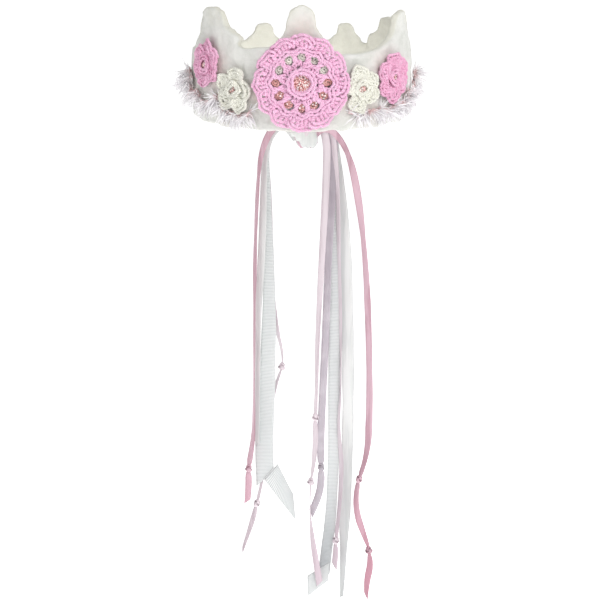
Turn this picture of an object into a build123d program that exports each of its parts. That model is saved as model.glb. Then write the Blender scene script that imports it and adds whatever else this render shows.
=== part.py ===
"""Felted flower crown for a child's head, with a bunch of ribbon tails tied on at the back.

Millimetres. +Z is up and the front of the crown faces -Y. The origin is on the axis of the head
opening, in the plane of the crown's lower edge. Angles round the crown are measured from the
front, and grow towards +X.
"""

from math import cos, radians, sin, tan
import os

from build123d import *

# The felt band, a wet-felted ring that stands in seven rounded points.
BORE_RADIUS = 78.0
FELT = 5.0
BAND_RADIUS = BORE_RADIUS + FELT
BAND_MIDDLE = BORE_RADIUS + FELT / 2
BAND_HEIGHT = 40.0
HEM_ROUND = 2.0
# The rim runs level across each dip: how far before it and past it.
DIP_LEVEL = 2.6
DIP_LAP = 3.0
# Each point: angle, height, half width at mid height towards smaller and larger angles.
POINTS = [
    (0.0, 90.0, 11.8, 11.8),
    (74.0, 80.0, 23.0, 13.0),
    (118.0, 68.0, 13.0, 16.8),
    (153.5, 60.0, 8.0, 7.5),
    (202.5, 59.5, 8.5, 8.5),
    (247.0, 68.0, 12.0, 12.0),
    (302.0, 85.0, 14.0, 21.0),
]
# The dip after each point: angle and height.
DIPS = [(26.0, 55.0), (98.0, 50.0), (141.0, 45.0), (178.0, 44.0), (225.0, 46.0), (272.0, 50.0), (332.0, 59.0)]
# Share of the way out to the half width, and share of the rise kept there.
BELL = [(1.6, 0.14), (1.0, 0.5), (0.77, 0.86)]

# The big crocheted rosette at the front, in layers that follow the band's curve.
ROSETTE_HEIGHT = 36.0
ROSETTE_BACK = BAND_RADIUS + 1.6
ROSETTE_FACE = ROSETTE_BACK + 3.4
SPOKES = 12
SPOKE_ROUND_RADIUS = 29.0
SPOKE_HOLE = 2.7
SPOKE_HOLE_CIRCLE = 18.4
CENTRE_HOLE = 6.0
CENTRE_RING = (6.4, 11.0)
ARCH_RING = (21.6, 25.4)
EDGE_INNER = 25.7
EDGE_LOBE = 7.2
EDGE_LOBE_CIRCLE = 26.4
RING_RISE = 2.2
EDGE_RISE = 4.2
ROSETTE_BEAD = 3.0

# The small crocheted flowers: name, angle, height, half width, half height, petals.
FLOWERS = [
    ("left_white_flower", -34.8, 28.5, 15.0, 17.0, 5),
    ("right_white_flower", 30.4, 30.0, 13.0, 16.5, 5),
    ("left_pink_flower", -55.0, 44.5, 16.4, 17.2, 6),
    ("right_pink_flower", 51.4, 35.5, 17.4, 18.0, 6),
]
FLOWER_BACK = BAND_RADIUS + 0.4
PETAL_RISE = 4.0
FLOWER_RING = (3.4, 7.0)
FLOWER_RING_RISE = 2.0
FLOWER_BEAD = 2.2

# Eyelash yarn: soft volumes that its lashes fill, as spans of angle, height and radius.
LASHES = {
    "eyelash_yarn_left": [(-98.0, -69.5, 8.0, 42.0, 96.0), (-69.5, -49.5, 6.0, 25.0, 90.0),
                          (-49.5, -23.5, 3.5, 10.5, 87.5)],
    "eyelash_yarn_right": [(67.0, 98.0, 8.0, 38.0, 95.0), (43.5, 67.0, 4.0, 16.0, 89.0),
                           (20.5, 43.5, 3.5, 12.5, 87.5)],
    "eyelash_yarn_middle": [(-17.0, 17.0, 10.0, 31.0, BAND_RADIUS + 1.3)],
}
LASH_BACK = BAND_RADIUS + 0.3

# Sewing thread that tacks the pieces to the felt.
THREAD_RADIUS = 0.5
THREAD_SPAN = (BAND_RADIUS - 2.5, BAND_RADIUS + 2.9)
ROSETTE_TACKS = 6
ROSETTE_TACK_CIRCLE = 14.5
FLOWER_TACK = 8.6

# Two eyelets at the back, and the ribbon that bridges them inside a shallow recess.
EYELET_RADIUS = 3.1
EYELET_SPREAD = 8.0
EYELET_HEIGHT = 8.0
BRIDGE_RADIUS = 2.4
BRIDGE_END = BAND_RADIUS + 2.0
RECESS = (BORE_RADIUS - 1.0, BORE_RADIUS + 1.8, 9.5, 6.4)
BRIDGE = (BORE_RADIUS + 0.3, BORE_RADIUS + 1.6, 5.9, 4.0)

# The bunch of ribbons swings about a line through the eyelets' mouths.
SWING_DEPTH = 88.6
HANGER_WIDTH = 5.0
HANGER_THICK = 2.4
HANGER_ROUND = 1.7
KNOT_CENTRE = (4.0, 88.0, -36.0)
KNOT_RADII = (11.0, 6.4, 8.0)

# Ribbons: thickness, and the clearance of the seats that the tails turn in.
RIBBON_THICK = 0.6
TAIL_ROUND = 3.2
SEAT_GAP = 0.5
SHOULDER_WIDTH = 5.4
SAMPLE_STEP = 4.0
# Shoulders arch from the knot to where the tails hang: name, depths, route of (x, z).
SHOULDERS = [
    ("left_pink_shoulder", (82.7, 83.3),
     [(-2.0, -36.0), (-7.0, -25.0), (-18.0, -22.0), (-27.5, -33.0), (-33.5, -50.0)]),
    ("left_ribbon_shoulder", (86.4, 93.2),
     [(-4.0, -38.0), (-9.5, -29.0), (-17.5, -26.0), (-25.5, -34.0), (-30.2, -50.0)]),
    ("right_ribbon_shoulder", (85.7, 93.1),
     [(12.0, -38.0), (15.0, -31.0), (20.0, -28.5), (25.0, -36.0), (27.4, -50.0)]),
    ("right_pink_shoulder", (82.7, 83.3),
     [(9.0, -37.0), (14.0, -28.5), (24.0, -28.0), (35.0, -41.0), (42.0, -60.0)]),
]
# Tails: name, depth, route of (x, z), widths at shares of the length, knots on it.
TAILS = [
    ("left_pink_satin_tail", 83.0,
     [(-33.5, -50.0), (-35.5, -68.0), (-37.0, -92.0), (-38.5, -126.0), (-39.5, -168.0), (-40.0, -216.0),
      (-40.6, -262.0), (-41.0, -293.0), (-43.4, -311.0), (-46.0, -326.0), (-45.6, -341.0), (-47.0, -357.0)],
     [(0.0, 6.35), (0.45, 6.35), (0.5, 5.0), (0.9, 6.35), (1.0, 5.0)], [(-46.0, -326.0)]),
    ("left_narrow_white_tail", 87.0,
     [(-30.2, -50.0), (-31.0, -72.0), (-32.0, -108.0), (-34.0, -150.0), (-37.0, -188.0), (-37.4, -228.0),
      (-38.4, -268.0), (-39.4, -303.0)],
     [(0.0, 6.35), (1.0, 6.35)], []),
    ("left_wide_grosgrain_tail", 89.2,
     [(-30.2, -50.0), (-28.4, -82.0), (-27.4, -124.0), (-27.0, -170.0), (-28.0, -221.0), (-31.0, -268.0),
      (-32.6, -312.0), (-31.6, -338.0)],
     [(0.0, 6.4), (0.25, 7.0), (0.4, 9.0), (0.58, 12.6), (0.75, 15.8), (1.0, 16.0)], []),
    ("left_inner_pink_tail", 92.6,
     [(-30.2, -50.0), (-27.4, -84.0), (-26.6, -126.0), (-25.0, -168.0), (-21.0, -203.0), (-16.4, -222.0),
      (-16.0, -236.0), (-20.6, -248.0), (-26.6, -270.0), (-31.0, -304.0), (-33.6, -338.0), (-39.0, -363.0),
      (-44.0, -383.0), (-52.0, -407.0)],
     [(0.0, 6.35), (0.9, 6.35), (1.0, 5.4)], [(-16.0, -236.0), (-39.0, -363.0)]),
    ("right_pale_satin_tail", 86.2,
     [(21.0, -53.0), (20.2, -80.0), (18.0, -122.0), (15.4, -172.0), (13.2, -221.0), (13.0, -256.0),
      (11.8, -280.0), (12.4, -300.0), (10.8, -322.0), (8.0, -340.0), (7.4, -360.0), (8.4, -380.0),
      (10.4, -399.0), (13.4, -418.0), (16.2, -437.0)],
     [(0.0, 6.35), (1.0, 6.35)], [(11.8, -280.0), (8.0, -340.0)]),
    ("right_sheer_tail", 89.2,
     [(27.4, -50.0), (25.6, -84.0), (23.0, -126.0), (21.6, -172.0), (20.0, -221.0), (18.0, -267.0),
      (16.6, -304.0), (17.2, -327.0), (17.4, -343.0), (14.2, -358.0), (8.4, -371.0)],
     [(0.0, 6.35), (1.0, 6.35)], [(17.2, -327.0)]),
    ("right_wide_grosgrain_tail", 91.0,
     [(27.4, -50.0), (28.0, -90.0), (27.4, -150.0), (28.2, -210.0), (28.0, -264.0), (28.2, -321.0),
      (26.0, -376.0), (22.0, -408.0), (19.8, -434.0)],
     [(0.0, 6.4), (0.2, 8.0), (0.4, 10.0), (1.0, 10.0)], []),
    ("right_inner_pink_tail", 87.6,
     [(27.4, -50.0), (30.4, -80.0), (31.0, -122.0), (32.6, -168.0), (33.6, -215.0), (34.0, -258.0),
      (32.0, -282.0), (33.0, -303.0), (35.0, -323.0), (34.4, -347.0), (32.8, -371.0), (30.2, -396.0),
      (30.4, -409.0), (29.2, -421.0)],
     [(0.0, 6.35), (1.0, 6.35)], [(30.2, -396.0)]),
    ("right_wide_white_tail", 92.5,
     [(27.4, -50.0), (33.0, -84.0), (37.0, -126.0), (39.2, -180.0), (40.2, -240.0), (40.4, -298.0),
      (39.4, -340.0), (38.0, -376.0), (37.2, -414.0), (36.0, -453.0)],
     [(0.0, 6.4), (0.15, 9.0), (0.3, 10.0), (0.82, 10.0), (0.9, 6.5), (1.0, 4.0)], []),
    ("right_pink_satin_tail", 83.0,
     [(42.0, -60.0), (46.6, -84.0), (50.0, -108.0), (53.0, -136.0), (55.6, -172.0), (57.4, -216.0),
      (58.4, -256.0), (58.2, -284.0), (57.6, -304.0), (54.4, -322.0), (49.8, -336.0), (47.2, -354.0),
      (49.0, -371.0), (54.6, -388.0), (59.8, -403.0), (61.0, -418.0), (57.8, -433.0), (57.2, -447.0)],
     [(0.0, 6.35), (1.0, 6.35)], [(49.8, -336.0), (59.8, -403.0)]),
]
TAIL_KNOT = 2.5
# The wide ribbons end in a slanting fold: the flap's corners (x, z) in front of the ribbon.
FLAPS = {
    "left_wide_grosgrain_tail": [(-20.6, -324.0), (-7.0, -352.0), (-5.0, -377.0), (-33.0, -338.0)],
    "right_wide_grosgrain_tail": [(25.0, -419.0), (24.0, -436.0), (6.0, -451.0), (5.4, -431.0)],
}
# The short pinked end that stands out in front of the knot, as corners (x, z).
PINKED_DEPTH = 80.9
PINKED_END = [(-10.0, -30.0), (-8.4, -34.0), (-5.4, -34.6), (-4.4, -37.6), (-1.4, -38.4), (-0.2, -41.2),
              (2.8, -41.6), (4.4, -43.8), (7.2, -43.0), (9.4, -44.2), (12.0, -41.8), (13.6, -38.0), (11.0, -31.0)]

os.makedirs("parts", exist_ok=True)


def facing(angle, height=0.0):
    """Plane that faces outward at an angle round the crown, with local X along the band and Y up."""
    turn = radians(angle)
    return Plane(origin=(0, 0, height), x_dir=(cos(turn), sin(turn), 0), z_dir=(sin(turn), -cos(turn), 0))


def shell(inner, outer):
    """Keep only what lies between two radii about the crown's axis."""
    with BuildSketch(Plane.XY.offset(-60)) as ring:
        Circle(outer)
        Circle(inner, mode=Mode.SUBTRACT)
    extrude(ring.sketch, amount=200, mode=Mode.INTERSECT)


def span(start, end, low, high, inner, outer, mode=Mode.ADD):
    """Add a block between two angles, two heights and two radii, as a turned rectangle."""
    turn = radians(start)
    across = Plane(origin=(0, 0, 0), x_dir=(sin(turn), -cos(turn), 0), z_dir=(-cos(turn), -sin(turn), 0))
    with BuildSketch(across) as section:
        with Locations(((inner + outer) / 2, (low + high) / 2)):
            Rectangle(outer - inner, high - low)
    revolve(section.sketch, axis=Axis.Z, revolution_arc=end - start, mode=mode)


def save(piece, label):
    """Label one finished sub-part and write its own STEP file."""
    piece.part.label = label
    export_step(piece.part, f"parts/{label}.step")


def bell_side(peak, half_width, reach, dip, side):
    """Points of one side of a crown point, from the dip up to just short of the top."""
    rise = peak - dip
    slope = [(side * share * half_width, dip + keep * rise) for share, keep in BELL]
    return [(side * (reach + DIP_LAP), dip), (side * (reach - DIP_LEVEL), dip)] + slope


def crown_point(index):
    """One bell-shaped point of the crown, from the dip before it to the dip after, on top of the band."""
    angle, peak, before, after = POINTS[index]
    dip_before, dip_after = DIPS[index - 1], DIPS[index]
    reach_before = BAND_MIDDLE * sin(radians((angle - dip_before[0]) % 360))
    reach_after = BAND_MIDDLE * sin(radians((dip_after[0] - angle) % 360))
    left = bell_side(peak, before, reach_before, dip_before[1], -1)
    right = bell_side(peak, after, reach_after, dip_after[1], 1)
    with BuildPart() as point:
        with BuildSketch(facing(angle)):
            with BuildLine():
                rim = Spline(left[1:] + [(0, peak)] + right[:0:-1], tangents=[(1, 0), (1, 0)])
                Polyline(rim @ 1, right[0], (right[0][0], BAND_HEIGHT), (left[0][0], BAND_HEIGHT), left[0], rim @ 0)
            make_face()
        extrude(amount=BAND_RADIUS + FELT)
        shell(BORE_RADIUS, BAND_RADIUS)
        start = dip_before[0] - 360 if dip_before[0] > angle else dip_before[0]
        span(start, dip_after[0], BAND_HEIGHT, peak + FELT, BORE_RADIUS - 1, BAND_RADIUS + 1, Mode.INTERSECT)
    return point.part


def make_felt_crown():
    """The felt band with its seven points, the two eyelets and the recess for the ribbons."""
    points = [crown_point(index) for index in range(len(POINTS))]
    inner, outer, half_angle, height = RECESS
    with BuildPart() as felt:
        with BuildSketch():
            Circle(BAND_RADIUS)
            Circle(BORE_RADIUS, mode=Mode.SUBTRACT)
        extrude(amount=BAND_HEIGHT)
        hem = felt.edges().filter_by(GeomType.CIRCLE).group_by(Axis.Z)[0].sort_by(SortBy.LENGTH)[-1]
        fillet(hem, HEM_ROUND)
        for point in points:
            add(point)
        with Locations(*((side * EYELET_SPREAD, BAND_MIDDLE, EYELET_HEIGHT) for side in (-1, 1))):
            Cylinder(EYELET_RADIUS, 4 * FELT, rotation=(90, 0, 0), mode=Mode.SUBTRACT)
        span(180 - half_angle, 180 + half_angle, EYELET_HEIGHT - height / 2, EYELET_HEIGHT + height / 2,
             inner, outer, Mode.SUBTRACT)
    save(felt, "felt_crown")


def lobed(lobes, circle, lobe, stretch=1.0):
    """Sketch round lobes evenly set on a circle, filled in to the middle."""
    Circle(circle)
    with PolarLocations(circle, lobes, start_angle=90):
        Circle(lobe)
    if stretch != 1.0:
        scale(by=(1.0, stretch, 1.0))


def make_rosette():
    """The rosette: spoked round, centre ring, arch round and scalloped edge, each on the one below."""
    front = facing(0, ROSETTE_HEIGHT)
    with BuildPart() as spokes:
        with BuildSketch(front):
            Circle(SPOKE_ROUND_RADIUS)
            Circle(CENTRE_HOLE, mode=Mode.SUBTRACT)
            with PolarLocations(SPOKE_HOLE_CIRCLE, SPOKES):
                Circle(SPOKE_HOLE, mode=Mode.SUBTRACT)
        extrude(amount=100)
        shell(ROSETTE_BACK, ROSETTE_FACE)
    save(spokes, "rosette_spoke_round")
    for label, (inner, outer) in (("rosette_centre_ring", CENTRE_RING), ("rosette_arch_round", ARCH_RING)):
        with BuildPart() as ring:
            with BuildSketch(front):
                Circle(outer)
                Circle(inner, mode=Mode.SUBTRACT)
            extrude(amount=100)
            shell(ROSETTE_FACE, ROSETTE_FACE + RING_RISE)
        save(ring, label)
    with BuildPart() as edge:
        with BuildSketch(front):
            lobed(SPOKES, EDGE_LOBE_CIRCLE, EDGE_LOBE)
            Circle(EDGE_INNER, mode=Mode.SUBTRACT)
        extrude(amount=100)
        shell(ROSETTE_FACE, ROSETTE_FACE + EDGE_RISE)
    save(edge, "rosette_scallop_edge")
    with BuildPart() as bead:
        with BuildSketch(front.offset(BAND_RADIUS + 1.4 + ROSETTE_BEAD)):
            with BuildLine():
                CenterArc((0, 0), ROSETTE_BEAD, -90, 180)
                Line((0, ROSETTE_BEAD), (0, -ROSETTE_BEAD))
            make_face()
        revolve(axis=Axis(front.offset(BAND_RADIUS + 1.4 + ROSETTE_BEAD).origin, (0, 0, 1)))
    save(bead, "rosette_bead")


def make_flower(name, angle, height, half_width, half_height, petals):
    """One small flower: petals against the felt, a crocheted ring on them and a bead in the ring."""
    face = facing(angle, height)
    lobe = half_width * 0.42
    with BuildPart() as blossom:
        with BuildSketch(face):
            lobed(petals, half_width - lobe, lobe, half_height / half_width)
            Circle(FLOWER_RING[0] - 0.6, mode=Mode.SUBTRACT)
        extrude(amount=100)
        shell(FLOWER_BACK, FLOWER_BACK + PETAL_RISE)
    save(blossom, f"{name}_petals")
    with BuildPart() as ring:
        with BuildSketch(face):
            Circle(FLOWER_RING[1])
            Circle(FLOWER_RING[0], mode=Mode.SUBTRACT)
        extrude(amount=100)
        shell(FLOWER_BACK + PETAL_RISE, FLOWER_BACK + PETAL_RISE + FLOWER_RING_RISE)
    save(ring, f"{name}_ring")
    seat = face.offset(FLOWER_BACK + PETAL_RISE)
    with BuildPart() as bead:
        with BuildSketch(seat):
            with BuildLine():
                CenterArc((0, 0), FLOWER_BEAD, -90, 180)
                Line((0, FLOWER_BEAD), (0, -FLOWER_BEAD))
            make_face()
        revolve(axis=Axis(seat.origin, (0, 0, 1)))
    save(bead, f"{name}_bead")


def make_lashes():
    """Soft volumes for the eyelash yarn laid round the flowers."""
    for label, blocks in LASHES.items():
        with BuildPart() as lashes:
            for start, end, low, high, outer in blocks:
                span(start, end, low, high, LASH_BACK, outer)
        save(lashes, label)


def make_stitches():
    """Short tacks of thread that pierce the felt and hold the flowers and the rosette."""
    tacks = [(0.0, ROSETTE_HEIGHT, ROSETTE_TACK_CIRCLE, 360 / ROSETTE_TACKS * n) for n in range(ROSETTE_TACKS)]
    for _, angle, height, *_ in FLOWERS:
        tacks += [(angle, height, FLOWER_TACK, turn) for turn in (0, 180)]
    with BuildPart() as thread:
        for angle, height, circle, turn in tacks:
            with BuildSketch(facing(angle, height).offset(THREAD_SPAN[0])):
                with Locations((circle * cos(radians(turn)), circle * sin(radians(turn)))):
                    Circle(THREAD_RADIUS)
            extrude(amount=THREAD_SPAN[1] - THREAD_SPAN[0])
    save(thread, "sewing_stitches")


def make_bridge():
    """The bundle of ribbons where it passes in through one eyelet and out through the other."""
    inner, outer, half_angle, height = BRIDGE
    with BuildPart() as bridge:
        span(180 - half_angle, 180 + half_angle, EYELET_HEIGHT - height / 2, EYELET_HEIGHT + height / 2,
             inner, outer)
        for side in (-1, 1):
            with BuildSketch(Plane.XZ.offset(-BRIDGE_END)):
                with Locations((side * EYELET_SPREAD, EYELET_HEIGHT)):
                    Circle(BRIDGE_RADIUS)
            extrude(amount=BRIDGE_END - BORE_RADIUS - 0.9)
    save(bridge, "ribbon_bridge")


def knot_lump(mode=Mode.ADD):
    """Add the rounded body of the main knot, or cut it away."""
    lump = scale(Sphere(1, mode=Mode.PRIVATE), by=KNOT_RADII, mode=Mode.PRIVATE)
    add(Pos(*KNOT_CENTRE) * lump, mode=mode)


def make_knot():
    """The two strands that hang from the eyelets, the knot they end in and its pinked ribbon end."""
    with BuildPart() as hanger:
        for side in (-1, 1):
            top = side * EYELET_SPREAD
            foot = KNOT_CENTRE[0] + side * 4.5
            half = HANGER_WIDTH / 2
            with BuildSketch(Plane.XZ.offset(-SWING_DEPTH)):
                with BuildLine():
                    Polyline((top - half, EYELET_HEIGHT), (top + half, EYELET_HEIGHT), (foot + half, KNOT_CENTRE[2]),
                             (foot - half, KNOT_CENTRE[2]), close=True)
                make_face()
            extrude(amount=HANGER_THICK / 2, both=True)
            with Locations((top, SWING_DEPTH, EYELET_HEIGHT)):
                Cylinder(HANGER_ROUND, HANGER_WIDTH, rotation=(0, 90, 0))
        knot_lump(Mode.SUBTRACT)
    save(hanger, "ribbon_hanger")
    with BuildPart() as knot:
        knot_lump()
    save(knot, "ribbon_knot")
    with BuildPart() as pinked:
        with BuildSketch(Plane.XZ.offset(-PINKED_DEPTH)):
            with BuildLine():
                Polyline(*PINKED_END, close=True)
            make_face()
        extrude(amount=RIBBON_THICK / 2, both=True)
    save(pinked, "pinked_ribbon_end")


def filleted(label, route):
    """Path through a route: straight runs joined by arcs as large as the runs allow."""
    points = [Vector(x, z) for x, z in route]
    radii = []
    for before, here, after in zip(points, points[1:], points[2:]):
        turn = (here - before).get_angle(after - here)
        run = min((here - before).length, (after - here).length)
        radii.append(0.45 * run / tan(radians(turn) / 2))
    print(label, "length", round(sum((b - a).length for a, b in zip(points, points[1:]))), "radii",
          " ".join(str(round(radius)) for radius in radii))
    return FilletPolyline(*points, radius=radii)


def width_at(widths, share):
    """Width of a ribbon at a share of its length, between the stated ones."""
    for (start, narrow), (end, wide) in zip(widths, widths[1:]):
        if share <= end:
            return narrow + (wide - narrow) * (share - start) / (end - start)
    return widths[-1][1]


def ribbon_face(label, route, widths):
    """Sketch a flat ribbon of changing width along its route, with edges square to it."""
    with BuildLine(mode=Mode.PRIVATE) as line:
        path = filleted(label, route)
    steps = max(8, round(path.length / SAMPLE_STEP))
    sides = ([], [])
    for step in range(steps + 1):
        share = step / steps
        point, along = path @ share, path % share
        across = Vector(-along.Y, along.X) * (width_at(widths, share) / 2)
        sides[0].append(point + across)
        sides[1].append(point - across)
    with BuildLine(mode=Mode.PRIVATE) as outline:
        Polyline(*sides[0], *reversed(sides[1]), close=True)
    make_face(outline.edges())


def make_shoulder(label, depths, route):
    """Ribbon bundle that arches from the knot to the seat its tails turn in."""
    middle = sum(depths) / 2
    with BuildPart() as shoulder:
        with BuildSketch(Plane.XZ.offset(-middle)):
            ribbon_face(label, route, [(0.0, SHOULDER_WIDTH), (1.0, SHOULDER_WIDTH)])
            with Locations(route[-1]):
                Circle(TAIL_ROUND + SEAT_GAP, mode=Mode.SUBTRACT)
        extrude(amount=(depths[1] - depths[0]) / 2, both=True)
        knot_lump(Mode.SUBTRACT)
    save(shoulder, label)


def make_tail(label, depth, route, widths, knots):
    """One hanging ribbon tail, round at the end it turns on, with its small knots and folded flap."""
    with BuildPart() as tail:
        with BuildSketch(Plane.XZ.offset(-depth)):
            ribbon_face(label, route, widths)
            with Locations(route[0]):
                Circle(TAIL_ROUND)
        extrude(amount=RIBBON_THICK / 2, both=True)
        if label in FLAPS:
            with BuildSketch(Plane.XZ.offset(RIBBON_THICK / 2 - depth)):
                with BuildLine():
                    Polyline(*FLAPS[label], close=True)
                make_face()
            extrude(amount=RIBBON_THICK)
        for x, z in knots:
            with Locations((x, depth, z)):
                Sphere(TAIL_KNOT)
    save(tail, label)


make_felt_crown()
make_rosette()
for flower in FLOWERS:
    make_flower(*flower)
make_lashes()
make_stitches()
make_bridge()
make_knot()
for shoulder in SHOULDERS:
    make_shoulder(*shoulder)
for tail in TAILS:
    make_tail(*tail)
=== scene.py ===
"""Looks of a felted flower crown with crocheted flowers, eyelash yarn and ribbon tails.

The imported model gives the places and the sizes. Lengths inside the classes are millimetres, in the
model's own frame, and turn into metres when a mesh is made.
"""

import logging
import math
from dataclasses import dataclass, field
from enum import Enum
from typing import Optional, Sequence, Union

import bpy
import numpy as np
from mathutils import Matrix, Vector


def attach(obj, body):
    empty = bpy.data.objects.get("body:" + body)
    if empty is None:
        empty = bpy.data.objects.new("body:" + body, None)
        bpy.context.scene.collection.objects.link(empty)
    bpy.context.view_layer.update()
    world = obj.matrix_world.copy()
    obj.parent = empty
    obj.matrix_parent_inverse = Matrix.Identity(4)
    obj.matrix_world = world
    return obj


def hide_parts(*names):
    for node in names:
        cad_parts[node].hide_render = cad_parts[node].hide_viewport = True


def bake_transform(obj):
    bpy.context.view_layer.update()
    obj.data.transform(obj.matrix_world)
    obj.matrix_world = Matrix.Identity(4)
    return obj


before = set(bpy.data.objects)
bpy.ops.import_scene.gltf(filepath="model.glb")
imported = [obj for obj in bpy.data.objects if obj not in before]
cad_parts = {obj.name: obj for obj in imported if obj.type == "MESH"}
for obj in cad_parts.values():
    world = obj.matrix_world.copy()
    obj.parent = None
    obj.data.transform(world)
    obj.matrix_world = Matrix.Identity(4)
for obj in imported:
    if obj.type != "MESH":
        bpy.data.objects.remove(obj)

Array = np.ndarray
Colour = tuple[float, float, float]
Point = tuple[float, float, float]

MM = 0.001
UP = np.array([0.0, 0.0, 1.0])
FLAT = np.array([1.0, 1.0, 0.0])
FRONT = np.array([0.0, -1.0, 0.0])
TAU = 2 * math.pi
# Turn from one bead to the next that spreads them evenly over a round spot.
GOLDEN_TURN = 2.39996
BAND_RADIUS = 83.0

log = logging.getLogger("flower_crown")


# Shader graphs


class Value:
    """One output of a shader node, with arithmetic that adds Math nodes."""

    def __init__(self, graph: "Graph", socket: bpy.types.NodeSocket) -> None:
        """Keep the socket and the graph that it belongs to."""
        self.graph = graph
        self.socket = socket

    def _math(self, operation: str, *others: "Number") -> "Value":
        """Add one Math node fed by this value and others."""
        inputs = dict(enumerate((self, *others)))
        return self.graph.add("ShaderNodeMath", {"operation": operation}, inputs)

    def __add__(self, other: "Number") -> "Value":
        """Sum."""
        return self._math("ADD", other)

    def __radd__(self, other: float) -> "Value":
        """Sum with a number on the left."""
        return self._math("ADD", other)

    def __sub__(self, other: "Number") -> "Value":
        """Difference."""
        return self._math("SUBTRACT", other)

    def __rsub__(self, other: float) -> "Value":
        """Difference with a number on the left."""
        return self.graph.add("ShaderNodeMath", {"operation": "SUBTRACT"}, {0: other, 1: self})

    def __mul__(self, other: "Number") -> "Value":
        """Product."""
        return self._math("MULTIPLY", other)

    def __rmul__(self, other: float) -> "Value":
        """Product with a number on the left."""
        return self._math("MULTIPLY", other)

    def __pow__(self, other: "Number") -> "Value":
        """Power."""
        return self._math("POWER", other)

    def sine(self) -> "Value":
        """Sine of a value in radians."""
        return self._math("SINE")

    def size(self) -> "Value":
        """Value without its sign."""
        return self._math("ABSOLUTE")

    def between(self, low: float, high: float) -> "Value":
        """Smooth rise from 0 at low to 1 at high."""
        settings = {"interpolation_type": "SMOOTHSTEP"}
        return self.graph.add("ShaderNodeMapRange", settings, {"Value": self, 1: low, 2: high})


Number = Union[Value, float]


class Graph:
    """Node tree of one material, built up from expressions."""

    def __init__(self, name: str) -> None:
        """Start a material that holds nothing but its shader and its output."""
        self.material = bpy.data.materials.new(name)
        self.material.use_nodes = True
        self.tree = self.material.node_tree
        self.shader = self.tree.nodes["Principled BSDF"]

    def add(self, kind: str, settings: dict, inputs: dict, output: Union[int, str] = 0) -> Value:
        """Add a node: its settings first, then its sockets.

        Args:
            kind: the node's type.
            settings: properties of the node; "stops" gives a ramp its positions and colours.
            inputs: socket name or number to a value, number, colour or vector.
            output: name or number of the output to return.

        Returns:
            The chosen output.
        """
        node = self.tree.nodes.new(kind)
        for key, value in settings.items():
            if key == "stops":
                ramp = node.color_ramp
                while len(ramp.elements) < len(value):
                    ramp.elements.new(0.5)
                for element, (position, colour) in zip(ramp.elements, value):
                    element.position = position
                    element.color = (*colour, 1.0)
            else:
                setattr(node, key, value)
        for key, value in inputs.items():
            self.feed(node.inputs[key], value)
        return Value(self, node.outputs[output])

    def feed(self, socket: bpy.types.NodeSocket, value: Union[Value, float, Sequence[float]]) -> None:
        """Link a value into a socket, or set the socket to a number, colour or vector.

        Args:
            socket: the input to feed.
            value: a value to link, or a number, colour or vector to set.
        """
        if isinstance(value, Value):
            self.tree.links.new(value.socket, socket)
        elif isinstance(value, (int, float)):
            socket.default_value = value
        else:
            wide = len(socket.default_value)
            socket.default_value = (*value, 1.0) if wide == 4 and len(value) == 3 else tuple(value)

    def named(self, name: str) -> Value:
        """Value stored on the mesh under a name."""
        return self.add("ShaderNodeAttribute", {"attribute_name": name}, {}, "Fac")

    def place(self, stretch: Point = (1.0, 1.0, 1.0)) -> Value:
        """Object coordinates in metres, stretched."""
        where = self.add("ShaderNodeTexCoord", {}, {}, "Object")
        return self.add("ShaderNodeVectorMath", {"operation": "MULTIPLY"}, {0: where, 1: stretch})

    def noise(self, scale: float, detail: float = 2.0, where: Optional[Value] = None,
              bend: float = 0.0) -> Value:
        """Soft noise from 0 to 1.

        Args:
            scale: lumps per metre.
            detail: number of finer layers.
            where: coordinates; the object's own if left out.
            bend: how far the noise distorts itself.

        Returns:
            The noise.
        """
        spot = where or self.place()
        inputs = {"Vector": spot, "Scale": scale, "Detail": detail, "Distortion": bend}
        return self.add("ShaderNodeTexNoise", {}, inputs, "Fac")

    def mix(self, share: Number, first: Union[Value, Colour], second: Union[Value, Colour]) -> Value:
        """Blend two colours."""
        settings = {"data_type": "RGBA", "clamp_factor": True}
        return self.add("ShaderNodeMix", settings, {0: share, 6: first, 7: second}, 2)

    def bump(self, height: Value, depth: float, strength: float = 1.0) -> Value:
        """Normal that follows a height from 0 to 1, for a relief of that depth in metres."""
        inputs = {"Height": height, "Distance": depth, "Strength": strength}
        return self.add("ShaderNodeBump", {}, inputs, "Normal")

    def dress(self, **sockets: Union[Value, float, Sequence[float]]) -> bpy.types.Material:
        """Feed the shader's sockets by name, with _ for a space, and return the material.

        Args:
            sockets: the shader's inputs, with _ for a space.

        Returns:
            The finished material.
        """
        for name, value in sockets.items():
            self.feed(self.shader.inputs[name.replace("_", " ")], value)
        return self.material


# Finishes


@dataclass(frozen=True)
class Finish:
    """Something that a piece can be made of."""

    name: str

    def material(self) -> bpy.types.Material:
        """Return this finish's material, made the first time that it is asked for."""
        return bpy.data.materials.get(self.name) or self.paint(Graph(self.name))

    def paint(self, graph: Graph) -> bpy.types.Material:
        """Build the finish in a fresh graph."""
        raise NotImplementedError


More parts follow.
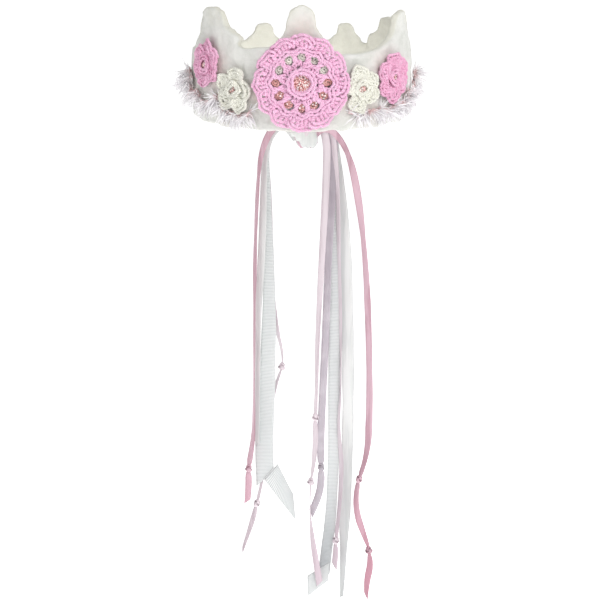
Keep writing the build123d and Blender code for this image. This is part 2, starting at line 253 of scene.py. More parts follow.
@dataclass(frozen=True)
class Felt(Finish):
    """Wet-felted wool: mottled, fibrous and matt, with a pink blush near the flowers and painted shade on
    the inner face of the band.
    """

    wool: Colour = (0.790, 0.790, 0.755)
    shade: Colour = (0.560, 0.575, 0.520)
    # painted shade: darker, yellower colour for the inner face of the band
    inner_shade: Colour = (0.740, 0.725, 0.625)
    blush: Colour = (0.86, 0.60, 0.53)

    def paint(self, graph: Graph) -> bpy.types.Material:
        """Build the felt.

        Args:
            graph: a graph that holds only its shader and output.

        Returns:
            The material.
        """
        blotch = graph.noise(70.0, 3.0, bend=0.6)
        wisps = graph.noise(420.0, 4.0, bend=2.2)
        fibres = graph.noise(1900.0, 3.0, graph.place((1.0, 1.0, 0.45)), 3.0)
        body = graph.mix(blotch.between(0.36, 0.70) * 0.55, self.wool, self.shade)
        # Painted shade: the inner face of the band is darker and yellower.
        body = graph.mix(graph.named("inside") * 0.75, body, self.inner_shade)
        body = graph.mix(graph.named("blush") * (0.35 + 0.65 * wisps.between(0.35, 0.65)), body, self.blush)
        body = graph.mix(wisps.between(0.45, 0.75) * 0.30, body, (0.90, 0.90, 0.86))
        body = graph.mix(fibres.between(0.52, 0.75) * 0.22, body, self.shade)
        relief = blotch * 0.45 + wisps * 0.35 + fibres * 0.20
        return graph.dress(Base_Color=body, Roughness=0.92 + 0.08 * fibres,
                           Normal=graph.bump(relief, 0.0011, 0.8),
                           Sheen_Weight=0.35, Sheen_Roughness=0.6, Specular_IOR_Level=0.15)


@dataclass(frozen=True)
class Wool(Finish):
    """Plied crochet yarn: soft, with painted shade in the grooves between its plies."""

    light: Colour
    # painted shade for the grooves between the plies
    groove_shade: Colour
    fleck: Colour
    sheen: float = 0.3

    def paint(self, graph: Graph) -> bpy.types.Material:
        """Build the yarn.

        Args:
            graph: a graph that holds only its shader and output.

        Returns:
            The material.
        """
        fuzz = graph.noise(2600.0, 2.0, bend=1.5)
        drift = graph.noise(120.0, 2.0)
        # Painted shade: darker where the plied outline dips into the grooves between plies.
        colour = graph.mix(graph.named("ply").between(0.0, 0.5), self.groove_shade, self.light)
        colour = graph.mix(drift.between(0.42, 0.72) * 0.5 + graph.named("strand") * 0.30, colour,
                           self.fleck)
        colour = graph.mix(fuzz.between(0.60, 0.82) * 0.35, colour, (0.97, 0.93, 0.95))
        return graph.dress(Base_Color=colour, Roughness=0.50 + 0.25 * fuzz,
                           Normal=graph.bump(fuzz, 0.00022, 0.8),
                           Sheen_Weight=self.sheen, Sheen_Roughness=0.5, Specular_IOR_Level=0.45)


@dataclass(frozen=True)
class Glass(Finish):
    """Small glossy beads and sequins in a few tints."""

    tint: Colour = (0.97, 0.56, 0.54)
    pale: Colour = (1.0, 0.92, 0.88)

    def paint(self, graph: Graph) -> bpy.types.Material:
        """Build the beads.

        Args:
            graph: a graph that holds only its shader and output.

        Returns:
            The material.
        """
        swirl = graph.noise(700.0, 2.0, bend=1.0)
        colour = graph.mix(graph.named("strand").between(0.35, 0.65), self.tint, self.pale)
        colour = graph.mix(swirl.between(0.5, 0.75) * 0.5, colour, (0.99, 0.93, 0.90))
        return graph.dress(Base_Color=colour, Roughness=0.10 + 0.22 * swirl, Coat_Weight=0.5, IOR=1.6,
                           Normal=graph.bump(swirl, 0.0001, 0.5), Specular_IOR_Level=0.8)


@dataclass(frozen=True)
class Lash(Finish):
    """Flat shiny filaments of eyelash yarn."""

    light: Colour = (1.00, 0.99, 1.00)
    tint: Colour = (0.80, 0.76, 0.80)
    # painted shade, pinkish like the core, for the lash roots
    root: Colour = (0.88, 0.62, 0.62)

    def paint(self, graph: Graph) -> bpy.types.Material:
        """Build the filaments.

        Args:
            graph: a graph that holds only its shader and output.

        Returns:
            The material.
        """
        streak = graph.noise(900.0, 2.0)
        colour = graph.mix(graph.named("strand").between(0.55, 0.95), self.light, self.tint)
        # Painted shade: each lash is darker and pinker towards its root at the core.
        colour = graph.mix(graph.named("ply").between(0.0, 0.45), self.root, colour)
        colour = graph.mix(streak.between(0.5, 0.8) * 0.6, colour, (0.99, 0.98, 0.99))
        return graph.dress(Base_Color=colour, Roughness=0.22 + 0.25 * streak, Specular_IOR_Level=0.7,
                           Normal=graph.bump(streak, 0.0001, 0.4), Coat_Weight=0.3)


@dataclass(frozen=True)
class Satin(Finish):
    """Satin ribbon: smooth and glossy, with crosswise shimmer and a tight woven edge."""

    face: Colour
    shadow: Colour
    # painted shade for the lower part of the ribbon, redder on the pink ones
    deep: Colour
    gloss: float = 0.32

    def paint(self, graph: Graph) -> bpy.types.Material:
        """Build the satin.

        Args:
            graph: a graph that holds only its shader and output.

        Returns:
            The material.
        """
        run, side = graph.named("run"), graph.named("side")
        threads = (run * (TAU / 0.00042)).sine() * 0.5 + 0.5
        # Painted shade: soft lengthwise streaks that mix the face toward the shadow colour; the same noise
        # varies the roughness.
        shade_streaks = graph.noise(190.0, 3.0, graph.place((1.0, 0.4, 0.07)), 0.3)
        hem = side.size().between(0.86, 0.97)
        colour = graph.mix(shade_streaks.between(0.42, 0.64) * 0.8, self.face, self.shadow)
        # Painted shade: darker lower down the ribbon, from 0.30 m to 0.44 m along it.
        colour = graph.mix(run.between(0.30, 0.44) * 0.65, colour, self.deep)
        colour = graph.mix(hem * 0.45, colour, self.shadow)
        colour = graph.mix(threads * 0.10, colour, (0.98, 0.94, 0.96))
        relief = threads * 0.4 + hem * 0.6
        return graph.dress(Base_Color=colour, Roughness=self.gloss + 0.22 * shade_streaks, Specular_IOR_Level=0.6,
                           Normal=graph.bump(relief, 0.00012, 0.6), Sheen_Weight=0.25, Sheen_Roughness=0.3)


@dataclass(frozen=True)
class Grosgrain(Finish):
    """Ribbed ribbon: close cords that run across it, and a plain narrow edge."""

    face: Colour = (0.860, 0.875, 0.870)
    # painted shade for the grooves between the ribs
    groove_shade: Colour = (0.560, 0.585, 0.590)
    # painted shade for the lower part of the ribbon
    deep: Colour = (0.400, 0.425, 0.440)
    rib: float = 0.0013

    def paint(self, graph: Graph) -> bpy.types.Material:
        """Build the grosgrain.

        Args:
            graph: a graph that holds only its shader and output.

        Returns:
            The material.
        """
        run, side = graph.named("run"), graph.named("side")
        ribs = (run * (TAU / self.rib)).sine() * 0.5 + 0.5
        hem = side.size().between(0.88, 0.96)
        weave = graph.noise(1500.0, 2.0)
        wave = graph.noise(28.0, 2.0)
        # Painted shade: the grooves between the ribs are darker than the cords.
        colour = graph.mix(ribs ** 0.7, self.groove_shade, self.face)
        # Painted shade: broad soft patches mixed toward grey.
        colour = graph.mix(wave.between(0.42, 0.70) * 0.35, colour, (0.660, 0.690, 0.690))
        # Painted shade: darker lower down the ribbon, from 0.31 m to 0.44 m along it.
        colour = graph.mix(run.between(0.31, 0.44) * 0.75, colour, self.deep)
        colour = graph.mix(hem * 0.5, colour, self.face)
        relief = (ribs * (1 - hem) + hem * 0.5) * 0.85 + weave * 0.15
        return graph.dress(Base_Color=colour, Roughness=0.50 + 0.25 * weave, Specular_IOR_Level=0.4,
                           Normal=graph.bump(relief, 0.0003, 0.8), Sheen_Weight=0.15)


@dataclass(frozen=True)
class Organza(Finish):
    """Sheer ribbon: an open weave that shows what lies behind it."""

    face: Colour = (0.55, 0.49, 0.55)
    cover: float = 0.60

    def paint(self, graph: Graph) -> bpy.types.Material:
        """Build the sheer ribbon.

        Args:
            graph: a graph that holds only its shader and output.

        Returns:
            The material.
        """
        run, side = graph.named("run"), graph.named("side")
        weft = (run * (TAU / 0.0005)).sine() * 0.5 + 0.5
        hem = side.size().between(0.80, 0.90)
        cloud = graph.noise(60.0, 2.0)
        colour = graph.mix(cloud.between(0.4, 0.7) * 0.5, self.face, (0.72, 0.67, 0.72))
        veil = self.cover + 0.15 * weft + 0.12 * cloud
        return graph.dress(Base_Color=colour, Alpha=veil + hem * 0.4, Roughness=0.28 + 0.2 * cloud,
                           Normal=graph.bump(weft, 0.00008, 0.4), Specular_IOR_Level=0.6)


@dataclass(frozen=True)
class Paper(Finish):
    """Matt pale studio floor."""

    def paint(self, graph: Graph) -> bpy.types.Material:
        """Build the floor.

        Args:
            graph: a graph that holds only its shader and output.

        Returns:
            The material.
        """
        grain = graph.noise(3.0, 2.0)
        colour = graph.mix(grain, (0.97, 0.97, 0.97), (1.0, 1.0, 1.0))
        return graph.dress(Base_Color=colour, Roughness=0.9, Specular_IOR_Level=0.0,
                           Emission_Color=(1.0, 1.0, 1.0), Emission_Strength=0.75)


class Stuff(Enum):
    """The finishes that the crown is made of."""

    FELT = Felt("felt")
    PINK_YARN = Wool("plied_pink_yarn", (1.000, 0.650, 0.860), (0.810, 0.260, 0.480), (1.00, 0.56, 0.79))
    ROSE_YARN = Wool("plied_rose_yarn", (0.960, 0.490, 0.710), (0.620, 0.160, 0.330), (0.97, 0.61, 0.80))
    IVORY_YARN = Wool("plied_ivory_yarn", (0.940, 0.925, 0.840), (0.600, 0.600, 0.47), (0.93, 0.93, 0.84))
    CORAL_YARN = Wool("coral_core_yarn", (0.96, 0.52, 0.47), (0.66, 0.22, 0.22), (0.98, 0.68, 0.64))
    COTTON = Wool("sewing_cotton", (0.88, 0.84, 0.84), (0.55, 0.48, 0.50), (0.90, 0.86, 0.88))
    BEAD = Glass("pink_beads")
    LASH = Lash("eyelash_filaments")
    PINK_SATIN = Satin("dusty_pink_satin", (0.660, 0.420, 0.500), (0.480, 0.240, 0.310),
                       (0.600, 0.220, 0.310))
    PALE_SATIN = Satin("pale_lilac_satin", (0.800, 0.700, 0.750), (0.580, 0.480, 0.530),
                       (0.600, 0.460, 0.530))
    MILK_SATIN = Satin("milk_satin", (0.790, 0.800, 0.790), (0.610, 0.630, 0.625), (0.480, 0.500, 0.505))
    GROSGRAIN = Grosgrain("ribbed_milk_ribbon")
    SHEER = Organza("sheer_lilac_ribbon")
    PAPER = Paper("studio_paper")


# Meshes


def unit(vectors: Array) -> Array:
    """Vectors of length one, along the last axis."""
    return vectors / np.maximum(np.linalg.norm(vectors, axis=-1, keepdims=True), 1e-9)


def swell(points: Array, wavelength: float, seed: int) -> Array:
    """Smooth random height at points, about -1 to 1, made of waves of one length in many directions.

    Args:
        points: places in millimetres, one to a row.
        wavelength: distance from lump to lump.
        seed: which random pattern.

    Returns:
        One height for each point.
    """
    rng = np.random.default_rng(seed)
    ways = unit(rng.normal(size=(14, 3))) * (TAU / wavelength) * rng.uniform(0.7, 1.3, (14, 1))
    return np.cos(points @ ways.T + rng.uniform(0, TAU, 14)).sum(axis=1) / 4.5


def evenly(path: Array, step: float) -> Array:
    """Points along a polyline, one step apart.

    Args:
        path: the corners of the polyline.
        step: the distance to keep, about.

    Returns:
        The new points, first and last included.
    """
    run = np.concatenate([[0.0], np.cumsum(np.linalg.norm(np.diff(path, axis=0), axis=1))])
    stations = np.linspace(0.0, run[-1], max(4, int(math.ceil(run[-1] / step)) + 1))
    return np.stack([np.interp(stations, run, path[:, axis]) for axis in range(path.shape[1])], axis=1)


def lengths(path: Array) -> Array:
    """Distance from the start to each point of a polyline."""
    return np.concatenate([[0.0], np.cumsum(np.linalg.norm(np.diff(path, axis=0), axis=1))])


def leaned(points: Array) -> Array:
    """Lean points on the band inward towards the tips of the felt.

    Args:
        points: places in the model's frame, in millimetres.

    Returns:
        The places moved in towards the axis, by up to 3 mm at the tallest tips.
    """
    rise = np.clip((points[..., 2:3] - 36.0) / 42.0, 0, 1)
    radial = unit(points * FLAT)
    return points - radial * 3.2 * rise * rise * (3 - 2 * rise)


class Fabric:
    """A mesh in the making: points in millimetres, faces, and named values on the points."""

    def __init__(self) -> None:
        """Start with nothing."""
        self.points: list[Array] = []
        self.faces: list[Array] = []
        self.values: dict[str, list[Array]] = {}
        self.count = 0

    def add(self, points: Array, faces: Array, **values: Array) -> None:
        """Add points, four-cornered faces that number those points, and values on them.

        Args:
            points: places in millimetres.
            faces: rows of four point numbers, counted from the first of these points.
            values: one number for each point, by name.
        """
        self.points.append(points.reshape(-1, 3))
        self.faces.append(faces + self.count)
        size = len(self.points[-1])
        for name, given in values.items():
            self.values.setdefault(name, []).append(np.broadcast_to(given, (size,)).astype(np.float32))
        self.count += size

    def tube(self, rings: Array, cap: bool = False, **values: Array) -> None:
        """Join rings of points into a tube.

        Args:
            rings: points as ring, place in the ring, coordinate.
            cap: close both ends, for a flat ring whose halves lie over each other.
            values: one number for each point, shaped ring by place.
        """
        n, m = rings.shape[:2]
        index = np.arange(n * m).reshape(n, m)
        a, b = index[:-1], index[1:]
        sides = np.stack([a, b, np.roll(b, -1, axis=1), np.roll(a, -1, axis=1)], axis=-1).reshape(-1, 4)
        faces = [sides]
        if cap:
            low = np.arange(m // 2 - 1)
            lid = np.stack([low, low + 1, m - 2 - low, m - 1 - low], axis=-1)
            faces += [lid, (lid + (n - 1) * m)[:, ::-1]]
        self.add(rings, np.concatenate(faces), **{k: np.broadcast_to(v, (n, m)).ravel() for k,
                                                  v in values.items()})

    def strips(self, centres: Array, halves: Array, **values: Array) -> None:
        """Add many narrow flat strips at once.

        Args:
            centres: points as strip, place along it, coordinate.
            halves: half of the strip's width there, as a vector.
            values: one number for each strip, or one for each of its points.
        """
        n, k = centres.shape[:2]
        points = np.stack([centres - halves, centres + halves], axis=2)
        index = np.arange(n * k * 2).reshape(n, k, 2)
        faces = np.stack([index[:, :-1, 0], index[:, :-1, 1], index[:, 1:, 1], index[:, 1:, 0]], axis=-1)
        spread = {name: np.repeat(given, n * k * 2 // len(given)) for name, given in values.items()}
        self.add(points, faces.reshape(-1, 4), **spread)

    def build(self, name: str, stuff: Stuff, smooth: bool = True) -> bpy.types.Object:
        """Turn what was added into an object.

        Args:
            name: the object's name.
            stuff: its finish.
            smooth: shade it smooth.

        Returns:
            The object, linked into the scene.
        """
        points = np.concatenate(self.points) * MM
        faces = np.concatenate(self.faces).astype(np.int32)
        mesh = bpy.data.meshes.new(name)
        mesh.vertices.add(len(points))
        mesh.vertices.foreach_set("co", points.astype(np.float32).ravel())
        mesh.loops.add(faces.size)
        mesh.loops.foreach_set("vertex_index", faces.ravel())
        mesh.polygons.add(len(faces))
        mesh.polygons.foreach_set("loop_start", np.arange(0, faces.size, 4, dtype=np.int32))
        mesh.polygons.foreach_set("use_smooth", np.full(len(faces), smooth))
        for key, parts in self.values.items():
            layer = mesh.attributes.new(key, "FLOAT", "POINT")
            layer.data.foreach_set("value", np.concatenate(parts))
        mesh.update(calc_edges=True)
        mesh.validate()
        mesh.materials.append(stuff.value.material())
        made = bpy.data.objects.new(name, mesh)
        bpy.context.scene.collection.objects.link(made)
        return made


def settle(piece: bpy.types.Object, body: str, slot: str, *nodes: str) -> bpy.types.Object:
    """Let a piece ride on a body and stand for the model's nodes.

    Args:
        piece: the object.
        body: the body that it moves with.
        slot: the material slot's name; not used.
        nodes: the model's nodes that it stands for.

    Returns:
        The piece.
    """
    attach(piece, body)
    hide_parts(*nodes)
    log.info("%s: %d faces", piece.name, len(piece.data.polygons))
    return piece


# Yarn, crochet and strips


@dataclass(frozen=True)
class Patch:
    """A spot on the outside of the band, with the way from flat crochet onto the curve."""

    angle: float
    height: float

    def axes(self) -> tuple[Array, Array]:
        """Directions along the band and outward at the spot."""
        turn = math.radians(self.angle)
        return np.array([math.cos(turn), math.sin(turn), 0.0]), np.array([math.sin(turn), -math.cos(turn),
                                                                          0.0])

    def place(self, flat: Array) -> Array:
        """Lay points on the band.

        Args:
            flat: across, up and proud of the band, in millimetres.

        Returns:
            The points in the model's frame, in millimetres.
        """
        across, outward = self.axes()
        u, v, h = flat[..., 0:1], flat[..., 1:2], flat[..., 2:3]
        deep = np.sqrt(np.maximum((BAND_RADIUS + h) ** 2 - u**2, 1.0))
        return leaned(u * across + deep * outward + (self.height + v) * UP)

    def outward(self, flat: Array) -> Array:
        """Outward directions at the points.

        Args:
            flat: across, up and proud of the band.

        Returns:
            A direction for each point, of length one.
        """
        across, outward = self.axes()
        u = flat[..., 0:1]
        return unit(u * across + np.sqrt(BAND_RADIUS**2 - u**2) * outward)


@dataclass(frozen=True)
class Yarn:
    """Plied yarn: its radius, the length of one turn of its twist, and how finely it is drawn."""

    radius: float
    plies: int = 3
    lay: float = 4.6
    sides: int = 12
    step: float = 0.55

    def outline(self) -> Array:
        """Radius of the plied outline at each side, as a share of the yarn's own.

        Returns:
            One share for each side.
        """
        turns = np.arange(self.sides) * TAU / self.sides
        off = turns[:, None] - np.arange(self.plies) * TAU / self.plies
        off = (off + math.pi) % (TAU) - math.pi
        reach = 0.46 * np.cos(off) + np.sqrt(np.maximum(0.54**2 - (0.46 * np.sin(off)) ** 2, 0.0))
        return reach.max(axis=1)

    def spin(self, fabric: Fabric, path: Array, outward: Array, strand: float = 0.5,
             ends: bool = True) -> None:
        """Draw one strand along a path.

        Args:
            fabric: the mesh to add to.
            path: points in millimetres.
            outward: a direction for each point, to hold the frame steady.
            strand: a tint from 0 to 1.
            ends: round both ends off.
        """
        both = evenly(np.concatenate([path, outward], axis=1), 1e9 if len(path) < 2 else self.step)
        line, out = both[:, :3], unit(both[:, 3:])
        ahead = unit(np.gradient(line, axis=0))
        side = unit(np.cross(out, ahead))
        normal = np.cross(ahead, side)
        run = lengths(line)
        thick = np.full(len(line), self.radius)
        if ends:
            gap = np.minimum(run, run[-1] - run) / self.radius
            thick = thick * np.sqrt(np.clip(1 - (1 - np.clip(gap, 0, 1)) ** 2, 0.01, 1))
        shape = self.outline()
        turn = np.arange(self.sides) * TAU / self.sides + (run / self.lay * TAU + 7 * strand)[:, None]
        reach = (thick[:, None] * shape)[..., None]
        rings = line[:, None] + reach * (np.cos(turn)[..., None] * side[:, None] + np.sin(turn)[..., None]
                                         * normal[:, None])
        ply = (shape - shape.min()) / (shape.max() - shape.min())
        fabric.tube(rings, ply=ply[None, :], strand=np.array(strand))


@dataclass
class Hook:
    """Crochet on one patch of the band: rows of stitches are drawn with its yarn."""

    patch: Patch
    yarn: Yarn
    seed: int
    wobble: float = 0.6
    fabric: Fabric = field(default_factory=Fabric)

    def __post_init__(self) -> None:
        """Seed the small differences between stitches."""
        self.rng = np.random.default_rng(self.seed)

    def strand(self, flat: Array, yarn: Optional[Yarn] = None) -> None:
        """Draw one strand through points across, up and proud of the band, pulled a little out of true.

        Args:
            flat: places across, up and proud of the band.
            yarn: another yarn than the hook's own.
        """
        flat = flat + self.wobble * np.stack([swell(flat, 9.0, self.seed + k) for k in (1, 2, 3)], axis=1)
        outward = self.patch.outward(flat)
        (yarn or self.yarn).spin(self.fabric, self.patch.place(flat), outward, self.rng.uniform())

    def disc(self, spot: tuple[float, float], radius: float, proud: float) -> None:
        """Fill a round spot with one strand wound in a spiral.

        Args:
            spot: middle of the disc, across and up.
            radius: how far it reaches.
            proud: how far it stands off the band.
        """
        turn = np.arange(0.6, radius / 1.6 * TAU, 0.3)
        rho = 1.6 * turn / (TAU)
        flat = np.stack([spot[0] + rho * np.sin(turn), spot[1] + rho * np.cos(turn),
                         np.full(len(turn), proud)], axis=1)
        self.strand(flat)

    def braid(self, guide: Array, pitch: float, half: float, rise: float, round_: bool = True) -> None:
        """Draw a row of chain stitches, each a pair of legs that meet in a V.

        Args:
            guide: middle of the row, as across, up and proud of the band.
            pitch: length of one stitch.
            half: half of the row's width.
            rise: how far the legs arch up.
            round_: the row closes on itself.
        """
        run = lengths(guide)
        count = max(3, round(run[-1] / pitch))
        pitch = run[-1] / count
        t = np.linspace(0.0, 1.0, 16)
        for stitch in range(count):
            for side in (-1.0, 1.0):
                grow = self.rng.uniform(0.9, 1.12)
                s = (stitch + 1.75 * t - 0.3) * pitch
                s = s % run[-1] if round_ else np.clip(s, 0, run[-1])
                here = np.stack([np.interp(s, run, guide[:, k]) for k in range(3)], axis=1)
                ahead = np.stack([np.interp(np.minimum(s + 0.4, run[-1]), run, guide[:, k]) -
                                  np.interp(np.maximum(s - 0.4, 0), run, guide[:, k]) for k in range(3)],
                                  axis=1)
                level = unit(ahead * FLAT)
                lateral = np.stack([-level[:, 1], level[:, 0], np.zeros(len(t))], axis=1)
                away = side * half * (0.10 + 0.90 * np.sin(math.pi * t) ** 0.75) * grow
                lift = rise * (np.sin(math.pi * np.clip(t * 1.08, 0, 1)) - 0.55) * grow
                self.strand(here + lateral * away[:, None] + np.array([0.0, 0.0, 1.0]) * lift[:, None])

    def post(self, foot: Array, head: Array, sway: float = 0.75, turns: float = 1.3,
             strands: int = 2) -> None:
        """Draw the tall part of a stitch: strands twisted round each other.

        Args:
            foot: one end, as across, up and proud of the band.
            head: other end.
            sway: how far each strand lies from the middle.
            turns: twists along the post.
            strands: how many strands.
        """
        t = np.linspace(0.0, 1.0, 14)[:, None]
        line = foot + (head - foot) * t
        line[:, 2] += 0.5 * np.sin(math.pi * t[:, 0])
        level = unit((head - foot) * FLAT)
        lateral = np.array([-level[1], level[0], 0.0])
        start = self.rng.uniform(0, TAU)
        for k in range(strands):
            turn = start + TAU * (turns * t + k / strands)
            self.strand(line + sway * (np.cos(turn) * lateral + np.sin(turn) * np.array([0.0, 0.0, 0.8])))

    def fuzz(self, count: int, reach: float) -> None:
        """Add fine stray fibres that stand off the yarn.

        Args:
            count: how many fibres.
            reach: length of the longest.
        """
        points = np.concatenate(self.fabric.points)
        pick = points[self.rng.integers(0, len(points), count)]
        ways = unit(self.rng.normal(size=(count, 3)) + 0.8 * unit(pick * FLAT))
        bend = unit(self.rng.normal(size=(count, 3)))
        t = np.linspace(0, 1, 4)[None, :, None]
        size = self.rng.uniform(0.4, 1.0, (count, 1, 1)) * reach
        centres = pick[:, None] + size * (ways[:, None] * t + 0.5 * bend[:, None] * t**2)
        halves = unit(np.cross(ways, bend))[:, None] * 0.035 * (1 - 0.7 * t)
        self.fabric.strips(centres, halves, ply=np.full(count, 0.9), strand=self.rng.uniform(0, 1, count))


@dataclass(frozen=True)
class Strip:
    """Flat ribbon: thickness, and how far its middle bows off its edges, in millimetres."""

    thick: float = 0.34
    cup: float = 0.25
    across: int = 9

    def lay(self, fabric: Fabric, line: Array, facing: Array, width: Array, cap: bool = True,
            slant: float = 0.0) -> None:
        """Lay the ribbon along a line.

        Args:
            fabric: the mesh to add to.
            line: its middle, in millimetres.
            facing: the way its face looks at each point.
            width: its width at each point.
            cap: close its cut ends.
            slant: how far one corner of the last cut reaches past the other, in half widths.
        """
        ahead = unit(np.gradient(line, axis=0))
        side = unit(np.cross(ahead, facing))
        normal = np.cross(side, ahead)
        share = np.linspace(-1, 1, self.across)
        reach = np.concatenate([share, share[::-1]])
        face = np.concatenate([np.ones(self.across), -np.ones(self.across)])
        edge = np.sqrt(1 - 0.75 * reach**8)
        high = face * edge * self.thick / 2 + self.cup * (1 - reach**2)
        wide = np.broadcast_to(width, (len(line),))[:, None] / 2
        rings = line[:, None] + (wide
                                 * reach)[..., None] * side[:, None] + high[None, :, None] * normal[:, None]
        run = lengths(line)
        skew = slant * wide * reach * np.clip(1 - (run[-1] - run) / 9.0, 0, 1)[:, None]
        rings = rings + skew[..., None] * ahead[:, None]
        fabric.tube(rings, cap, run=(run[:, None] + skew) * MM, side=reach[None, :])


# The felt


@dataclass
class FeltCrown:
    """The felted band: its model softened, lumpy and fuzzy, with a blush round the flowers."""

    voxel: float = 1.15
    soften: int = 9
    lump: float = 0.55
    ripple: float = 0.22
    fibres: int = 26000
    fibre: float = 3.4
    blushes: tuple[tuple[float, float, float, float], ...] = (
        (0.0, 72.0, 11.0, 0.50), (-22.0, 26.0, 9.0, 0.52), (22.0, 24.0, 9.0, 0.44),
        (-50.0, 40.0, 15.0, 0.50), (47.0, 42.0, 14.0, 0.40), (66.0, 34.0, 11.0, 0.44),
        (-70.0, 36.0, 12.0, 0.44), (0.0, 4.0, 12.0, 0.30), (-40.0, 12.0, 10.0, 0.42),
        (36.0, 12.0, 10.0, 0.36),
    )

    def softened(self, node: bpy.types.Object) -> bpy.types.Mesh:
        """Even, rounded copy of the model's felt.

        Args:
            node: the model's felt.

        Returns:
            The new mesh, in metres.
        """
        copy = bpy.data.objects.new("felt_blank", node.data.copy())
        bpy.context.scene.collection.objects.link(copy)
        remesh = copy.modifiers.new("Remesh", "REMESH")
        remesh.mode, remesh.voxel_size, remesh.use_smooth_shade = "VOXEL", self.voxel * MM, True
        smooth = copy.modifiers.new("Smooth", "SMOOTH")
        smooth.factor, smooth.iterations = 0.5, self.soften
        mesh = bpy.data.meshes.new_from_object(copy.evaluated_get(bpy.context.evaluated_depsgraph_get()))
        bpy.data.objects.remove(copy)
        return mesh

    def build(self, node: bpy.types.Object) -> None:
        """Build the felt and its fuzz in place of the model's felt.

        Args:
            node: the model's felt.
        """
        mesh = self.softened(node)
        count = len(mesh.vertices)
        points, normals = np.empty(count * 3, np.float32), np.empty(count * 3, np.float32)
        mesh.vertices.foreach_get("co", points)
        mesh.vertices.foreach_get("normal", normals)
        points, normals = points.reshape(-1, 3).astype(float) / MM, normals.reshape(-1, 3).astype(float)
        radial = unit(points * FLAT)
        points += normals * (self.lump * swell(points, 17.0, 3) + self.ripple * swell(points, 6.5,
                                                                                      4))[:, None]
        points = leaned(points)
        mesh.vertices.foreach_set("co", (points * MM).astype(np.float32).ravel())
        outside = np.clip((np.linalg.norm(points[:, :2],
                                          axis=1) - 80.3) / 2.0 + (normals * radial).sum(axis=1), 0, 1)
        angle = np.degrees(np.arctan2(points[:, 0], -points[:, 1]))
        blush = np.zeros(count)
        for turn, height, wide, share in self.blushes:
            off = (angle - turn + 180) % 360 - 180
            gap = np.hypot(np.radians(off) * BAND_RADIUS, points[:, 2] - height)
            blush = np.maximum(blush, share * np.exp(-((gap / wide) ** 2)))
        for name, given in (("blush", blush * outside), ("inside", 1 - outside)):
            layer = mesh.attributes.new(name, "FLOAT", "POINT")
            layer.data.foreach_set("value", given.astype(np.float32))
        mesh.update()
        mesh.materials.clear()
        mesh.materials.append(Stuff.FELT.value.material())
        felt = bpy.data.objects.new("felt_band", mesh)
        bpy.context.scene.collection.objects.link(felt)
        settle(felt, "crown", "cream_felt", "felt_crown")
        self.fuzz(points, unit(normals), blush * outside, 1 - outside)

    def fuzz(self, points: Array, normals: Array, blush: Array, inside: Array) -> None:
        """Short wool fibres that lie over the felt and stand off its edges.

        Args:
            points: the felt's points, in millimetres.
            normals: the way that the felt faces at each.
            blush: share of dye at each point.
            inside: 1 on the inside of the band, 0 outside.
        """
        rng = np.random.default_rng(11)
        pick = rng.integers(0, len(points), self.fibres)
        root = points[pick] + rng.normal(size=(self.fibres, 3)) * 0.5
        way = unit(rng.normal(size=(self.fibres, 3)) + 0.55 * normals[pick])
        bend = unit(rng.normal(size=(self.fibres, 3)))
        t = np.linspace(0, 1, 5)[None, :, None]
        size = rng.uniform(0.35, 1.0, (self.fibres, 1, 1)) * self.fibre
        centres = root[:, None] + size * (way[:, None] * t + 0.6 * bend[:, None] * t**2 - 0.35
                                          * normals[pick][:, None] * t**2)
        halves = unit(np.cross(way, bend))[:, None] * 0.045 * (1 - 0.6 * t)
        wool = Fabric()
        wool.strips(centres, halves, blush=blush[pick], inside=inside[pick])
        fibres = wool.build("felt_fuzz", Stuff.FELT)
        settle(fibres, "crown", "cream_felt")


# The flowers


